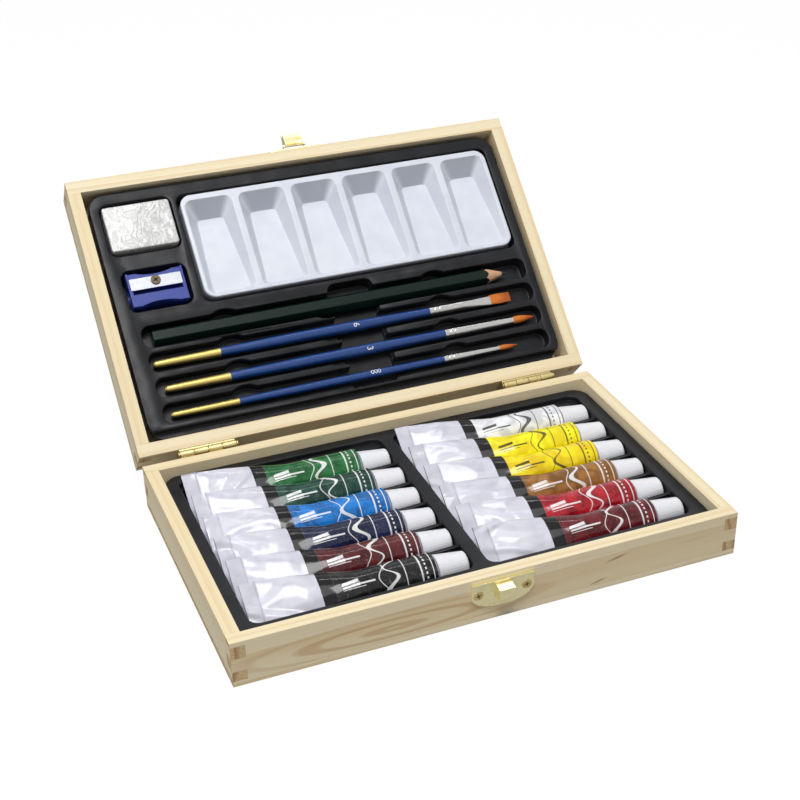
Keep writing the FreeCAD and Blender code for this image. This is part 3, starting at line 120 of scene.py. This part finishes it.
class Finish:
    """A surface finish, whose nodes feed one shader."""

    def __init__(self, name, **fixed):
        self.material = bpy.data.materials.new(name)
        self.material.use_nodes = True
        self.tree = self.material.node_tree
        self.tree.nodes.clear()
        self.shader = self.tree.nodes.new("ShaderNodeBsdfPrincipled")
        end = self.tree.nodes.new("ShaderNodeOutputMaterial")
        self.tree.links.new(self.shader.outputs[0], end.inputs[0])
        for socket, number in fixed.items():
            self.shader.inputs[socket.replace("_", " ")].default_value = number

    def add(self, kind, settings, *sockets, output=0):
        """A node of this kind: its settings first, then a value or a link for each socket."""
        node = self.tree.nodes.new(kind)
        for name, setting in settings.items():
            setattr(node, name, setting)
        for socket, given in zip(node.inputs, sockets):
            if isinstance(given, Value):
                self.tree.links.new(given.socket, socket)
            elif given is not None:
                socket.default_value = given
        return Value(self, node.outputs[output])

    def feed(self, **sockets):
        for name, given in sockets.items():
            self.tree.links.new(given.socket, self.shader.inputs[name.replace("_", " ")])

    def place(self, centre=(0, 0, 0), lean=0.0, stretch=(1, 1, 1)):
        """The point in millimetres from a centre, in axes that lean back about X."""
        turn = Matrix.Rotation(-lean, 3, "X")
        shift = turn @ (Vector(centre) * -1000)
        point = self.add("ShaderNodeTexCoord", {}, output=3)
        point = self.add("ShaderNodeMapping", {}, point, shift, (-lean, 0, 0), (1000,) * 3)
        return self.add("ShaderNodeVectorMath", {"operation": "MULTIPLY"}, point, stretch)

    def axes(self, point):
        node = self.tree.nodes.new("ShaderNodeSeparateXYZ")
        self.tree.links.new(point.socket, node.inputs[0])
        return [Value(self, socket) for socket in node.outputs]

    def joined(self, x, y, z):
        return self.add("ShaderNodeCombineXYZ", {}, x, y, z)

    def noise(self, point, scale, detail=2.0, rough=0.5, twist=0.0):
        return self.add("ShaderNodeTexNoise", {}, point, None, scale, detail, rough, None, None,
                        None, twist)

    def mix(self, share, low, high):
        node = self.tree.nodes.new("ShaderNodeMix")
        node.data_type = "RGBA"
        for socket, given in ((node.inputs[0], share), (node.inputs[6], low), (node.inputs[7], high)):
            if isinstance(given, Value):
                self.tree.links.new(given.socket, socket)
            else:
                socket.default_value = given
        return Value(self, node.outputs[2])

    def bump(self, height, reach, strength=1.0, edge=0.0):
        """Relief of this height over edges of a small radius; reach and edge are millimetres."""
        node = self.tree.nodes.new("ShaderNodeBump")
        node.inputs["Strength"].default_value = strength
        node.inputs["Distance"].default_value = reach / 1000
        self.tree.links.new(height.socket, node.inputs["Height"])
        if edge:
            worn = self.add("ShaderNodeBevel", {"samples": 6}, edge / 1000)
            self.tree.links.new(worn.socket, node.inputs["Normal"])
        return Value(self, node.outputs[0])


def wear(node_name, finish):
    """Puts a finish on a piece of the solid model."""
    node = nodes[node_name]
    node.data.materials.clear()
    node.data.materials.append(finish.material)


lid_lean = math.radians(42.4)
lid_middle = (0, 0.120576, 0.066968)


def pine(name, along, centre, lean, knot=None):
    """Pine with its grain along one axis, sawn from a log round this centre."""
    wood = Finish(name, Specular_IOR_Level=0.3)
    slow = tuple(0.06 if axis == along else 1.0 for axis in "xyz")
    point = wood.place(centre, lean, slow)
    x, y, z = wood.axes(point)
    sway = wood.noise(point, 0.06, 2.0, 0.5) - 0.5
    log = wood.joined(x + sway * 7.0, y + sway * 7.0, z)
    rings = wood.add("ShaderNodeTexWave", {"wave_type": "RINGS", "wave_profile": "SAW",
                     "rings_direction": along.upper()}, log, 0.062, 1.2, 2.0, 0.8, 0.5, 0.0,
                     output=1)
    late = rings.ramp(0.45, 0.93) * (1 - rings.ramp(0.94, 1.0))
    thread = wood.noise(wood.place(centre, lean, tuple(0.018 if axis == along else 1.0
                                                       for axis in "xyz")), 2.6, 3.0, 0.65)
    broad = wood.noise(point, 0.045, 1.0, 0.5)
    pores = wood.noise(wood.place(centre, lean), 1.4, 2.0, 0.6)
    body = wood.mix(late * 0.55, colour(243, 229, 196), colour(224, 196, 146))
    body = wood.mix(broad.ramp(0.42, 0.7) * 0.5, body, colour(232, 211, 166))
    body = wood.mix(thread.ramp(0.55, 0.78) * 0.38, body, colour(198, 164, 112))
    if knot:
        # nested arches where the saw ran along the heart, and two dark flecks
        px, py, pz = wood.axes(wood.place((knot[0] / 1000, 0, knot[1] / 1000)))
        far = (px * px * 0.012 + pz * pz).root() + sway * 4.0
        arches = (far * 2.1).sine().ramp(-0.2, 0.9) * (1 - far.ramp(4.5, 9.0))
        body = wood.mix(arches * 0.5, body, colour(196, 150, 94))
        for reach_x, reach_z, size in ((52.0, 13.4, 1.0), (44.0, 4.2, 0.8)):
            px, py, pz = wood.axes(wood.place((reach_x / 1000, 0, reach_z / 1000)))
            far = (px * px * 0.02 + (pz - px * 0.2) * (pz - px * 0.2)).root() + sway * 1.0
            body = wood.mix((1 - far.ramp(size * 0.2, size)) * 0.6, body, colour(134, 92, 54))
    nx, ny, nz = wood.axes(wood.add("ShaderNodeTexCoord", {}, output=1))
    if along == "x":
        facing = abs(nx)
    else:
        facing = abs(ny * math.cos(lean) + nz * math.sin(lean))
    sawn = facing.ramp(0.75, 0.9)
    end = wood.mix(late, colour(220, 194, 148), colour(184, 146, 98))
    end = wood.mix(pores.ramp(0.4, 0.7) * 0.4, end, colour(166, 128, 84))
    wood.feed(Base_Color=wood.mix(sawn, body, end), Roughness=0.48 + thread * 0.22,
              Normal=wood.bump(thread * 0.7 + late * 0.3 + pores * sawn, 0.07, 0.5, edge=0.3))
    return wood


for half, lean, middle in (("base", 0.0, (0, 0, 0.0102)), ("lid", lid_lean, lid_middle)):
    for side in ("front", "back", "left", "right"):
        label = "%s_%s_board" % (half, side)
        along = "x" if side in ("front", "back") else "y"
        shift = {"front": 0.031, "back": 0.047, "left": 0.083, "right": 0.012}[side]
        centre = (middle[0] + shift, middle[1] + shift * 0.3, middle[2] - 0.019 - shift * 0.15)
        wear(label, pine("pine " + label, along, centre, lean,
                         (-44.0, 8.0) if label == "base_front_board" else None))
for label, lean, middle in (("base_bottom_panel", 0.0, (0.02, 0.03, -0.03)),
                            ("lid_top_panel", lid_lean, (0.01, 0.16, 0.0))):
    wear(label, pine("pine " + label, "x", middle, lean))


# ---- Formed trays
# Black sheet drawn over a mould by vacuum: half glossy, with a faint pebbled skin, and rounded
# wherever it bends, because a sheet can't follow a sharp mould.

def formed_sheet(name, lean, middle):
    sheet = Finish(name, Specular_IOR_Level=0.22)
    point = sheet.place(middle, lean)
    sway = sheet.noise(point, 0.07, 1.0, 0.5)
    skin = sheet.noise(point, 1.6, 2.0, 0.5)
    dust = sheet.noise(point, 3.1, 1.0, 0.4).ramp(0.74, 0.8)
    dark = sheet.mix(sway.ramp(0.3, 0.7), colour(18, 19, 22), colour(27, 28, 32))
    sheet.feed(Base_Color=sheet.mix(dust * 0.5, dark, colour(92, 92, 94)),
               Roughness=0.25 + skin * 0.14 + sway * 0.06,
               Normal=sheet.bump(sway * 3.0 + skin * 0.05, 0.5, 0.5, edge=0.4))
    return sheet


def join_flats(shape):
    """Joins the triangles of each flat, slivers first, while every face keeps a single outline."""
    def slant(edge):
        least = math.pi
        for vert in edge.verts:
            way = edge.other_vert(vert).co - vert.co
            for rim in vert.link_edges:
                if len(rim.link_faces) == 2 and rim.calc_face_angle(0) > 0.02:
                    least = min(least, way.angle(rim.other_vert(vert).co - vert.co, math.pi))
        return least
    inner = [edge for edge in shape.edges
             if len(edge.link_faces) == 2 and edge.calc_face_angle(1) < 0.004]
    for edge in sorted(inner, key=slant):
        if edge.is_valid and len(edge.link_faces) == 2:
            one, two = edge.link_faces
            corners = set(one.verts) & set(two.verts)
            sides = set(one.edges) & set(two.edges)
            if len(corners) == len(sides) + 1:
                bmesh.utils.face_join((one, two), True)


def drawn_tray(node_name, body, lean, middle, bend=0.0004):
    """A copy of the tray whose upper edges are rounded to the bend radius, where there is room."""
    piece = bpy.data.objects.new(node_name + "_drawn", nodes[node_name].data.copy())
    bpy.context.scene.collection.objects.link(piece)
    upward = Vector((0, -math.sin(lean), math.cos(lean)))
    shape = bmesh.new()
    shape.from_mesh(piece.data)
    bmesh.ops.remove_doubles(shape, verts=shape.verts, dist=2e-6)
    join_flats(shape)
    bmesh.ops.dissolve_degenerate(shape, dist=0.00008, edges=shape.edges)

    def roomy(face):
        if abs(face.normal.dot(upward)) > 0.2:
            return 2 * face.calc_area() / face.calc_perimeter() > 0.00125
        heights = [vert.co.dot(upward) for vert in face.verts]
        return max(heights) - min(heights) > 1.6 * bend

    bends = [edge for edge in shape.edges if len(edge.link_faces) == 2
             and edge.calc_face_angle(0) > math.radians(38)
             and max(face.normal.dot(upward) for face in edge.link_faces) > 0.25
             and all(roomy(face) for face in edge.link_faces)]
    rounded = set(bmesh.ops.bevel(shape, geom=bends, offset=bend, offset_type="OFFSET", segments=3,
                                  profile=0.5, affect="EDGES", material=-1, clamp_overlap=False,
                                  loop_slide=True, miter_outer="SHARP")["faces"])
    for edge in shape.edges:
        crossed = len(edge.link_faces) != 2 or edge.calc_face_angle(0) > math.radians(38)
        edge.smooth = not crossed or any(face in rounded for face in edge.link_faces)
    for face in shape.faces:
        face.smooth = face in rounded or any(
            0.01 < edge.calc_face_angle(0) < math.radians(38) for edge in face.edges
            if len(edge.link_faces) == 2 and rounded.isdisjoint(edge.link_faces))
    shape.to_mesh(piece.data)
    shape.free()
    piece.data.materials.clear()
    piece.data.materials.append(formed_sheet("black sheet " + body, lean, middle).material)
    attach(piece, body)
    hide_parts(node_name)


drawn_tray("base_tray", "base", 0.0, (0, 0, 0))
drawn_tray("lid_tray", "lid", lid_lean, lid_middle)


# ---- Brass fittings
# Thin stamped brass-plated sheet: hinges, clasp and countersunk cross-head screws.

def brass(name, bright, dim, rough, crosses=(), lean=0.0):
    metal = Finish(name, Metallic=1.0)
    point = metal.place()
    rub = metal.noise(point, 0.35, 2.0, 0.55)
    pits = metal.noise(point, 3.4, 2.0, 0.5)
    skin = metal.mix(rub.ramp(0.4, 0.75) * 0.5, colour(*bright), colour(*dim))
    height = rub * 0.8 + pits * 0.2
    for centre in crosses:
        px, py, pz = metal.axes(metal.place(centre, lean))
        px, pz = abs(px + pz * 0.25), abs(pz - px * 0.25)
        narrow, long = 0.24, 1.15
        cross = ((px < narrow) * (pz < long) + (pz < narrow) * (px < long)) > 0.5
        # Painted shade: the cross recess is painted dark brown, and the bump sinks it.
        skin = metal.mix(cross * 0.9, skin, colour(52, 42, 24))
        height = height - cross * 2.0
    metal.feed(Base_Color=skin, Roughness=rough + pits * 0.1 + rub * 0.06,
               Normal=metal.bump(height, 0.12, 0.5, edge=0.25))
    return metal


plated = brass("stamped brass", (250, 242, 194), (232, 219, 162), 0.18)
hinge_brass = brass("hinge brass", (204, 188, 136), (158, 140, 92), 0.28)
base_crosses = [(x, 0.065, 0.0146) for x in (-0.085, -0.07, 0.07, 0.085)]
base_crosses += [(x, -0.065, 0.0128) for x in (-0.00885, 0.01185)]
lid_crosses = [(x, 0.07575, 0.01834) for x in (-0.085, -0.07, 0.07, 0.085)]
lid_crosses += [(x, 0.17306, 0.10721) for x in (-0.00825, 0.01125)]
for label in ("keeper_plate", "hasp_plate", "hasp_lever"):
    wear(label, plated)
for label in ("base_hinge_leaves", "lid_hinge_leaves", "pivot_pins"):
    wear(label, hinge_brass)
for label, crosses, lean in (("base_screws", base_crosses, 0.0),
                             ("lid_screws", lid_crosses, lid_lean)):
    wear(label, brass("brass of " + label, (222, 200, 138), (176, 150, 92), 0.24, crosses, lean))


# ---- Paint tubes
# White laminate tubes, squeezed flat and folded at the tail, with a printed label round the barrel:
# a black band, then a mottled field in the colour of the paint, with a pale flourish and a dark end.

tube_height = 0.0115
row_front = {1: 0.042904, 2: 0.025654, 3: 0.008404, 4: -0.008846, 5: -0.026096, 6: -0.043346}
tail_left = {"left": -0.0938, "right": 0.0042}
paints = {
    "left": {1: (26, 108, 52), 2: (12, 66, 52), 3: (16, 118, 200), 4: (18, 30, 68),
             5: (86, 18, 22), 6: (20, 21, 21)},
    "right": {1: (228, 229, 233), 2: (252, 230, 8), 3: (250, 214, 4), 4: (150, 100, 36),
              5: (176, 16, 36), 6: (100, 12, 24)},
}


def tube_skin(name, start, row, paint, seed):
    skin = Finish(name, Specular_IOR_Level=0.26, Coat_Roughness=0.05)
    point = skin.place((start, row, tube_height))
    along, out, up = skin.axes(point)
    turn = up.angle(out)
    light_paint = sum(paint) > 440 and paint[1] > 180
    ink = colour(26, 26, 28) if light_paint else colour(244, 244, 244)
    shaken = skin.add("ShaderNodeVectorMath", {"operation": "ADD"}, point, (seed * 37.0, 0, 0))
    # the field: broad soft dabs of the paint, with a few curled paler strokes
    dabs = skin.noise(shaken, 0.17, 1.5, 0.5, 0.6)
    curls = skin.noise(shaken, 0.30, 1.0, 0.4, 2.6)
    base = colour(*paint)
    bright = tuple(min(1.0, level * 1.22 + 0.006) for level in base[:3]) + (1.0,)
    shade = tuple(level * (0.88 if light_paint else 0.62) for level in base[:3]) + (1.0,)
    pale = tuple(level * 0.7 + (0.10 if light_paint else 0.16) for level in base[:3]) + (1.0,)
    field = skin.mix(dabs.ramp(0.35, 0.65), shade, bright)
    field = skin.mix(curls.band(0.60, 0.635, 0.012) * (0.25 if light_paint else 0.4), field, pale)
    # a wavy brush stroke round the barrel, and a broad ring beside the shoulder
    wave = along - 57.0 + (turn * 5.0 + seed).sine() * 2.4
    width = 0.75 + (turn * 3.0 + seed * 2.0).sine() * 0.4
    stroke = 1 - (abs(wave) - width).ramp(-0.1, 0.15)
    wave = along - 53.2 + (turn * 4.0 + seed * 3.0).sine() * 1.5
    stroke = (stroke + 0.8 * (1 - (abs(wave) - 0.22).ramp(-0.08, 0.12))).ramp(0.0, 1.0)
    field = skin.mix(stroke * 0.85, field, ink)
    dashes = (turn * 26.0).sine().ramp(-0.1, 0.1) * along.band(70.6, 71.3, 0.08)
    ring = along.band(62.3, 62.7, 0.08) + along.band(68.6, 69.3, 0.08) + dashes
    ring = ring + along.band(73.6, 74.0, 0.08)
    field = skin.mix(ring * 0.85, field, ink)
    # ruled bars beside the black band
    bars = (along.band(37.0, 43.5, 0.12) * turn.band(1.86, 2.03, 0.012)
            + along.band(37.0, 50.0, 0.12) * turn.band(2.13, 2.22, 0.012)
            + along.band(37.0, 46.0, 0.12) * turn.band(2.31, 2.345, 0.012))
    field = skin.mix(bars * 0.88, field, ink)
    label = along.band(34.2, 75.4, 0.06)
    black_band = along.band(28.9, 34.2, 0.06)
    white = skin.mix(dabs.ramp(0.3, 0.7), colour(218, 218, 229), colour(206, 206, 219))
    tinted = skin.mix(label, white, field)
    tinted = skin.mix(black_band, tinted, colour(9, 9, 10))
    # dents and creases of the squeezed tail, and the step of the crimp
    tail = 1 - along.ramp(20.0, 36.0)
    dents = skin.noise(skin.add("ShaderNodeVectorMath", {"operation": "MULTIPLY"}, shaken,
                                (0.7, 0.8, 0.8)), 0.07, 1.1, 0.38, 0.5)
    folds = abs(skin.noise(skin.add("ShaderNodeVectorMath", {"operation": "MULTIPLY"}, shaken,
                                    (0.35, 0.8, 0.8)), 0.05, 0.0, 0.4, 0.0) - 0.5)
    crease = 1 - folds.ramp(0.0, 0.05)
    barrel = skin.noise(shaken, 0.06, 0.0, 0.4)
    crimp = 1 - along.ramp(5.7, 6.1)
    skin.feed(Base_Color=tinted, Roughness=0.06 + dabs * 0.07,
              Coat_Weight=0.1 + tail * 0.1,
              Normal=skin.bump((dents * 2.9 + crease * 0.6) * tail + barrel * 0.8 + crimp * 0.16,
                               1.6, 0.85, edge=0.3))
    return skin


for column in ("left", "right"):
    for number in range(1, 7):
        label = "%s_tube_%d" % (column, number)
        wear(label, tube_skin("skin " + label, tail_left[column], row_front[number],
                              paints[column][number], number + (6 if column == "right" else 0)))


# ---- Caps
# White moulded plastic with fine lengthwise ribs for grip.

def cap_plastic(name, row):
    plastic = Finish(name, Specular_IOR_Level=0.5, Subsurface_Weight=0.15,
                     Subsurface_Scale=0.002)
    point = plastic.place((0, row, tube_height))
    along, out, up = plastic.axes(point)
    ribs = (up.angle(out) * 32.0).sine()
    cloud = plastic.noise(point, 0.4, 2.0, 0.5)
    plastic.feed(Base_Color=plastic.mix(cloud, colour(240, 240, 244), colour(229, 230, 235)),
                 Roughness=0.26 + cloud * 0.12, Normal=plastic.bump(ribs, 0.06, 0.35, edge=0.4))
    return plastic


for number in range(1, 7):
    moulded = cap_plastic("cap plastic %d" % number, row_front[number])
    for column in ("left", "right"):
        wear("%s_cap_%d" % (column, number), moulded)


# ---- Palette
# White moulded plastic with a smooth, half glossy skin.

palette_plastic = Finish("palette plastic", Specular_IOR_Level=0.5)
spot = palette_plastic.place(lid_middle, lid_lean)
cloud = palette_plastic.noise(spot, 0.08, 2.0, 0.5)
nx, ny, nz = palette_plastic.axes(palette_plastic.add("ShaderNodeTexCoord", {}, output=1))
# Painted shade: faces that turn away from the lid's face are painted greyer, and the walls facing the
# hinge, at the top end of each well, are painted darker still.
raised = nz * math.cos(lid_lean) - ny * math.sin(lid_lean)
hinge_facing_wall_shade = (ny * -math.cos(lid_lean) - nz * math.sin(lid_lean)).ramp(0.3, 0.8)
pale = palette_plastic.mix(cloud.ramp(0.3, 0.7), colour(223, 226, 235), colour(214, 218, 229))
pale = palette_plastic.mix((1 - raised.ramp(0.5, 0.95)) * 0.35, pale, colour(176, 181, 194))
palette_plastic.feed(
    Base_Color=palette_plastic.mix(hinge_facing_wall_shade * 0.8, pale, colour(148, 153, 166)),
    Roughness=0.24 + cloud * 0.12, Normal=palette_plastic.bump(cloud, 0.5, 0.2, edge=0.6))
wear("palette", palette_plastic)


# ---- Eraser
# White rubber wrapped in clear film, which is creased all over and catches the light; the crease ridges
# are also painted paler as highlights, over a random paler mottle.

rubber = Finish("wrapped rubber", Specular_IOR_Level=0.6, Coat_Roughness=0.1)
spot = rubber.place(lid_middle, lid_lean)
pull = rubber.noise(spot, 0.08, 1.0, 0.5, 1.0)
crease = rubber.noise(rubber.place(lid_middle, lid_lean, (1.0, 0.7, 1.0)), 0.13, 1.0, 0.5, 1.6)
ridge = 1 - abs(crease - 0.5).ramp(0.0, 0.09)
small = rubber.noise(spot, 0.42, 1.0, 0.5, 1.2)
# Painted highlight: the crease ridges are painted paler, mixed with a random paler mottle.
crease_highlight_and_mottle = (ridge * 0.55 + small.ramp(0.35, 0.65) * 0.45).ramp(0.1, 0.8)
rubber.feed(Base_Color=rubber.mix(crease_highlight_and_mottle, colour(194, 195, 193), colour(219, 220, 219)),
            Roughness=0.18 + small * 0.2, Coat_Weight=0.35 + ridge * 0.4,
            Normal=rubber.bump(ridge * 0.5 + small * 0.6 + pull * 2.0, 0.6, 0.7, edge=0.5))
wear("eraser", rubber)


# ---- Sharpener
# A blue moulded body with a steel blade, held by one dark screw.

blue_body = Finish("sharpener plastic", Specular_IOR_Level=0.35)
spot = blue_body.place(lid_middle, lid_lean)
grit = blue_body.noise(spot, 1.8, 3.0, 0.5)
blue_body.feed(Base_Color=blue_body.mix(grit, colour(44, 66, 156), colour(33, 51, 136)),
               Roughness=0.3 + grit * 0.2, Normal=blue_body.bump(grit, 0.1, 0.3, edge=0.4))
wear("sharpener_body", blue_body)

steel = Finish("blade steel", Metallic=1.0)
spot = steel.place(lid_middle, lid_lean, (0.1, 1, 1))
hair = steel.noise(spot, 6.0, 2.0, 0.5)
steel.feed(Base_Color=steel.mix(hair, colour(162, 163, 168), colour(128, 130, 136)),
           Roughness=0.34 + hair * 0.2, Normal=steel.bump(hair, 0.04, 0.4))
wear("sharpener_blade", steel)

screw_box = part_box("sharpener_screw")
screw_middle = [(low + high) / 2 for low, high in zip(*screw_box)]
dark_steel = Finish("screw steel", Metallic=1.0)
spot = dark_steel.place(lid_middle, lid_lean)
hair = dark_steel.noise(spot, 3.0, 2.0, 0.5)
px, py, pz = dark_steel.axes(dark_steel.place(screw_middle, lid_lean))
px, py = abs(px + py * 0.5), abs(py - px * 0.5)
cross = ((px < 0.24) * (py < 1.3) + (py < 0.24) * (px < 1.3)) > 0.5
rim = dark_steel.mix(hair, colour(88, 80, 66), colour(46, 42, 36))
# Painted shade: the cross recess is painted near black.
dark_steel.feed(Base_Color=dark_steel.mix(cross, rim, colour(14, 13, 12)),
                Roughness=0.24 + hair * 0.15,
                Normal=dark_steel.bump(hair * 0.1 - cross, 0.3, 0.6, edge=0.3))
wear("sharpener_screw", dark_steel)


# ---- Pencil
# Dark green lacquer on a six-sided cedar body; sharpening bares the wood in a scalloped cone.

pencil_tip = 0.0874
pencil_axis = (0.0, 0.120576 + -0.0122 * math.cos(lid_lean) + 0.0054 * math.sin(lid_lean),
               0.066968 + -0.0122 * math.sin(lid_lean) - 0.0054 * math.cos(lid_lean))
lacquer = Finish("pencil lacquer", Specular_IOR_Level=0.16)
spot = lacquer.place(pencil_axis, lid_lean)
along, out, up = lacquer.axes(spot)
reach = (out * out + up * up).root()
cone = (pencil_tip * 1000 - along) * (3.5 / 10.6)
cut = (cone - reach) < 0.05
grain = lacquer.noise(lacquer.place(pencil_axis, lid_lean, (0.1, 1, 1)), 1.5, 2.0, 0.5)
film = lacquer.noise(spot, 0.6, 2.0, 0.5)
green = lacquer.mix(film, colour(7, 31, 25), colour(4, 22, 18))
cedar = lacquer.mix(grain, colour(226, 186, 152), colour(196, 150, 114))
butt = along < (pencil_tip * 1000 - 174.7 + 0.05)
lacquer.feed(Base_Color=lacquer.mix(cut, lacquer.mix(butt, green, cedar), cedar),
             Roughness=0.3 + cut * 0.3 + film * 0.1,
             Normal=lacquer.bump(grain * cut + film * 0.05, 0.06, 0.3, edge=0.5))
wear("pencil_body", lacquer)

lead = Finish("pencil lead", Metallic=0.3)
spot = lead.place(pencil_axis, lid_lean)
grit = lead.noise(spot, 3.0, 2.0, 0.5)
lead.feed(Base_Color=lead.mix(grit, colour(52, 52, 56), colour(38, 38, 40)), Roughness=0.35 + grit * 0.2)
wear("pencil_lead", lead)


# ---- Brushes
# Wooden handles dipped in gilt at the butt and lacquered blue, with nickel ferrules crimped on,
# tufts of orange-brown hair, and the size stamped in white.

groove_start = -0.092
brush_sizes = {
    "flat": {"start": 1.8, "dip": 31.0, "handle": 132.7, "ferrule": 31.6, "tuft": 10.5,
             "mark": "6", "mark_x": 0.00536, "letter": 0.0042, "turn": -math.pi / 2,
             "radius": 0.0025, "roll": 0.1},
    "round": {"start": 4.1, "dip": 30.1, "handle": 134.5, "ferrule": 35.3, "tuft": 11.4,
              "mark": "3", "mark_x": 0.00837, "letter": 0.0042, "turn": -math.pi / 2,
              "radius": 0.0025, "roll": 0.2},
    "fine": {"start": 3.7, "dip": 31.2, "handle": 130.5, "ferrule": 28.6, "tuft": 9.5,
             "mark": "000", "mark_x": 0.00801, "letter": 0.0034, "turn": 0.0,
             "radius": 0.0019, "roll": -0.25},
}
for row, name in enumerate(("flat", "round", "fine"), start=1):
    size = brush_sizes[name]
    butt_end = groove_start + size["start"] / 1000
    across = -0.0122 - 0.0123 * row
    axis = (butt_end, 0.120576 + across * math.cos(lid_lean) + 0.005 * math.sin(lid_lean),
            0.066968 + across * math.sin(lid_lean) - 0.005 * math.cos(lid_lean))
    handle = Finish(name + " handle", Specular_IOR_Level=0.5)
    spot = handle.place(axis, lid_lean)
    along, out, up = handle.axes(spot)
    film = handle.noise(spot, 0.8, 2.0, 0.5)
    dipped = 1 - (along + film * 0.5).ramp(size["dip"] - 0.1, size["dip"] + 0.3)
    blue = handle.mix(film, colour(18, 68, 138), colour(12, 52, 112))
    gilt = handle.mix(film, colour(206, 184, 112), colour(184, 160, 88))
    handle.feed(Base_Color=handle.mix(dipped, blue, gilt), Metallic=dipped * 0.85,
                Roughness=0.2 + dipped * 0.12 + film * 0.08, Normal=handle.bump(film, 0.08, 0.2))
    wear(name + "_brush_handle", handle)

    # the size, stamped in white across the handle
    text = bpy.data.curves.new(name + " size", "FONT")
    text.body = size["mark"]
    text.size = size["letter"]
    text.align_x = "CENTER"
    text.align_y = "CENTER"
    text.resolution_u = 4
    stamp = bpy.data.objects.new(name + "_brush_size", text)
    bpy.context.scene.collection.objects.link(stamp)
    mesh = bpy.data.meshes.new_from_object(stamp)
    bpy.data.objects.remove(stamp)
    stamp = bpy.data.objects.new(name + "_brush_size", mesh)
    bpy.context.scene.collection.objects.link(stamp)
    shape = bmesh.new()
    shape.from_mesh(mesh)
    bmesh.ops.subdivide_edges(shape, edges=shape.edges, cuts=2)
    bmesh.ops.rotate(shape, verts=shape.verts, matrix=Matrix.Rotation(size["turn"], 3, "Z"))
    radius = size["radius"] + 0.00003
    for vert in shape.verts:
        roll = vert.co.y / radius
        vert.co.y = math.sin(roll) * radius
        vert.co.z = math.cos(roll) * radius
    bmesh.ops.rotate(shape, verts=shape.verts,
                     matrix=Matrix.Rotation(lid_lean + size["roll"], 3, "X"))
    bmesh.ops.translate(shape, verts=shape.verts, vec=(size["mark_x"], axis[1], axis[2]))
    shape.to_mesh(mesh)
    shape.free()
    paint = Finish(name + " size paint", Specular_IOR_Level=0.4)
    cloud = paint.noise(paint.place(), 2.5, 2.0, 0.5)
    paint.feed(Base_Color=paint.mix(cloud, colour(244, 244, 246), colour(222, 226, 232)),
               Roughness=0.35 + cloud * 0.2, Normal=paint.bump(cloud, 0.02, 0.2))
    mesh.materials.append(paint.material)
    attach(stamp, name + "_brush")

    nickel = Finish(name + " ferrule nickel", Metallic=1.0)
    spot = nickel.place(axis, lid_lean, (0.1, 1, 1))
    hair = nickel.noise(spot, 4.0, 2.0, 0.5)
    nickel.feed(Base_Color=nickel.mix(hair, colour(206, 205, 202), colour(166, 165, 164)),
                Roughness=0.12 + hair * 0.14, Normal=nickel.bump(hair, 0.04, 0.3))
    wear(name + "_brush_ferrule", nickel)

    hairs = Finish(name + " hair", Specular_IOR_Level=0.4)
    spot = hairs.place(axis, lid_lean, (0.04, 1, 1))
    strand = hairs.noise(spot, 7.0, 2.0, 0.6)
    along, out, up = hairs.axes(hairs.place(axis, lid_lean))
    end = (along - (size["handle"] + size["ferrule"])) / size["tuft"]
    tip_shade = end.ramp(0.25, 0.9)
    warm = hairs.mix(tip_shade, colour(226, 128, 46), colour(186, 88, 28))
    hairs.feed(Base_Color=hairs.mix(strand.ramp(0.4, 0.75) * 0.5, warm, colour(132, 60, 20)),
               Roughness=0.45 + strand * 0.2, Normal=hairs.bump(strand, 0.25, 0.8))
    wear(name + "_brush_bristles", hairs)


# ---- Table and light
# A plain white table and soft light from above, with a gentle key from the front left.

table_mesh = bpy.data.meshes.new("table")
shape = bmesh.new()
bmesh.ops.create_grid(shape, x_segments=1, y_segments=1, size=6.0)
shape.to_mesh(table_mesh)
shape.free()
table = bpy.data.objects.new("table", table_mesh)
bpy.context.scene.collection.objects.link(table)
white = Finish("white table", Base_Color=(0.46, 0.46, 0.46, 1), Roughness=0.9, Specular_IOR_Level=0.1)
glow = white.tree.nodes.new("ShaderNodeEmission")
shown = white.tree.nodes.new("ShaderNodeMixShader")
seen = white.add("ShaderNodeLightPath", {})
white.tree.links.new((seen * 0.86).socket, shown.inputs[0])
white.tree.links.new(white.shader.outputs[0], shown.inputs[1])
white.tree.links.new(glow.outputs[0], shown.inputs[2])
white.tree.links.new(shown.outputs[0], white.tree.nodes["Material Output"].inputs[0])
glow.inputs["Strength"].default_value = 1.1
table_mesh.materials.append(white.material)

world = bpy.data.worlds.new("studio")
world.use_nodes = True
bpy.context.scene.world = world
sky = world.node_tree
light_path = sky.nodes.new("ShaderNodeLightPath")
level = sky.nodes.new("ShaderNodeMapRange")
level.inputs["To Min"].default_value = 0.26
seen = light_path.outputs["Is Camera Ray"]
for kind in ("Is Glossy Ray", "Is Transmission Ray"):
    either = sky.nodes.new("ShaderNodeMath")
    either.operation = "MAXIMUM"
    sky.links.new(seen, either.inputs[0])
    sky.links.new(light_path.outputs[kind], either.inputs[1])
    seen = either.outputs[0]
sky.links.new(seen, level.inputs["Value"])
sky.links.new(level.outputs[0], sky.nodes["Background"].inputs["Strength"])
sky.nodes["Background"].inputs["Color"].default_value = (1, 1, 1, 1)
for name, spot, size, power in (("key", (-0.25, -0.42, 1.6), (0.7, 0.7), 19.5),
                               ("side", (-1.5, -0.3, 1.0), (0.8, 0.8), 2.0),
                               ("strip", (-0.1, 0.5, 1.3), (1.4, 0.025), 2.6)):
    lamp = bpy.data.lights.new(name, "AREA")
    lamp.shape = "RECTANGLE"
    lamp.size, lamp.size_y = size
    lamp.energy = power
    holder = bpy.data.objects.new(name, lamp)
    holder.location = spot
    holder.rotation_euler = (-Vector(spot)).to_track_quat("-Z", "Y").to_euler()
    bpy.context.scene.collection.objects.link(holder)
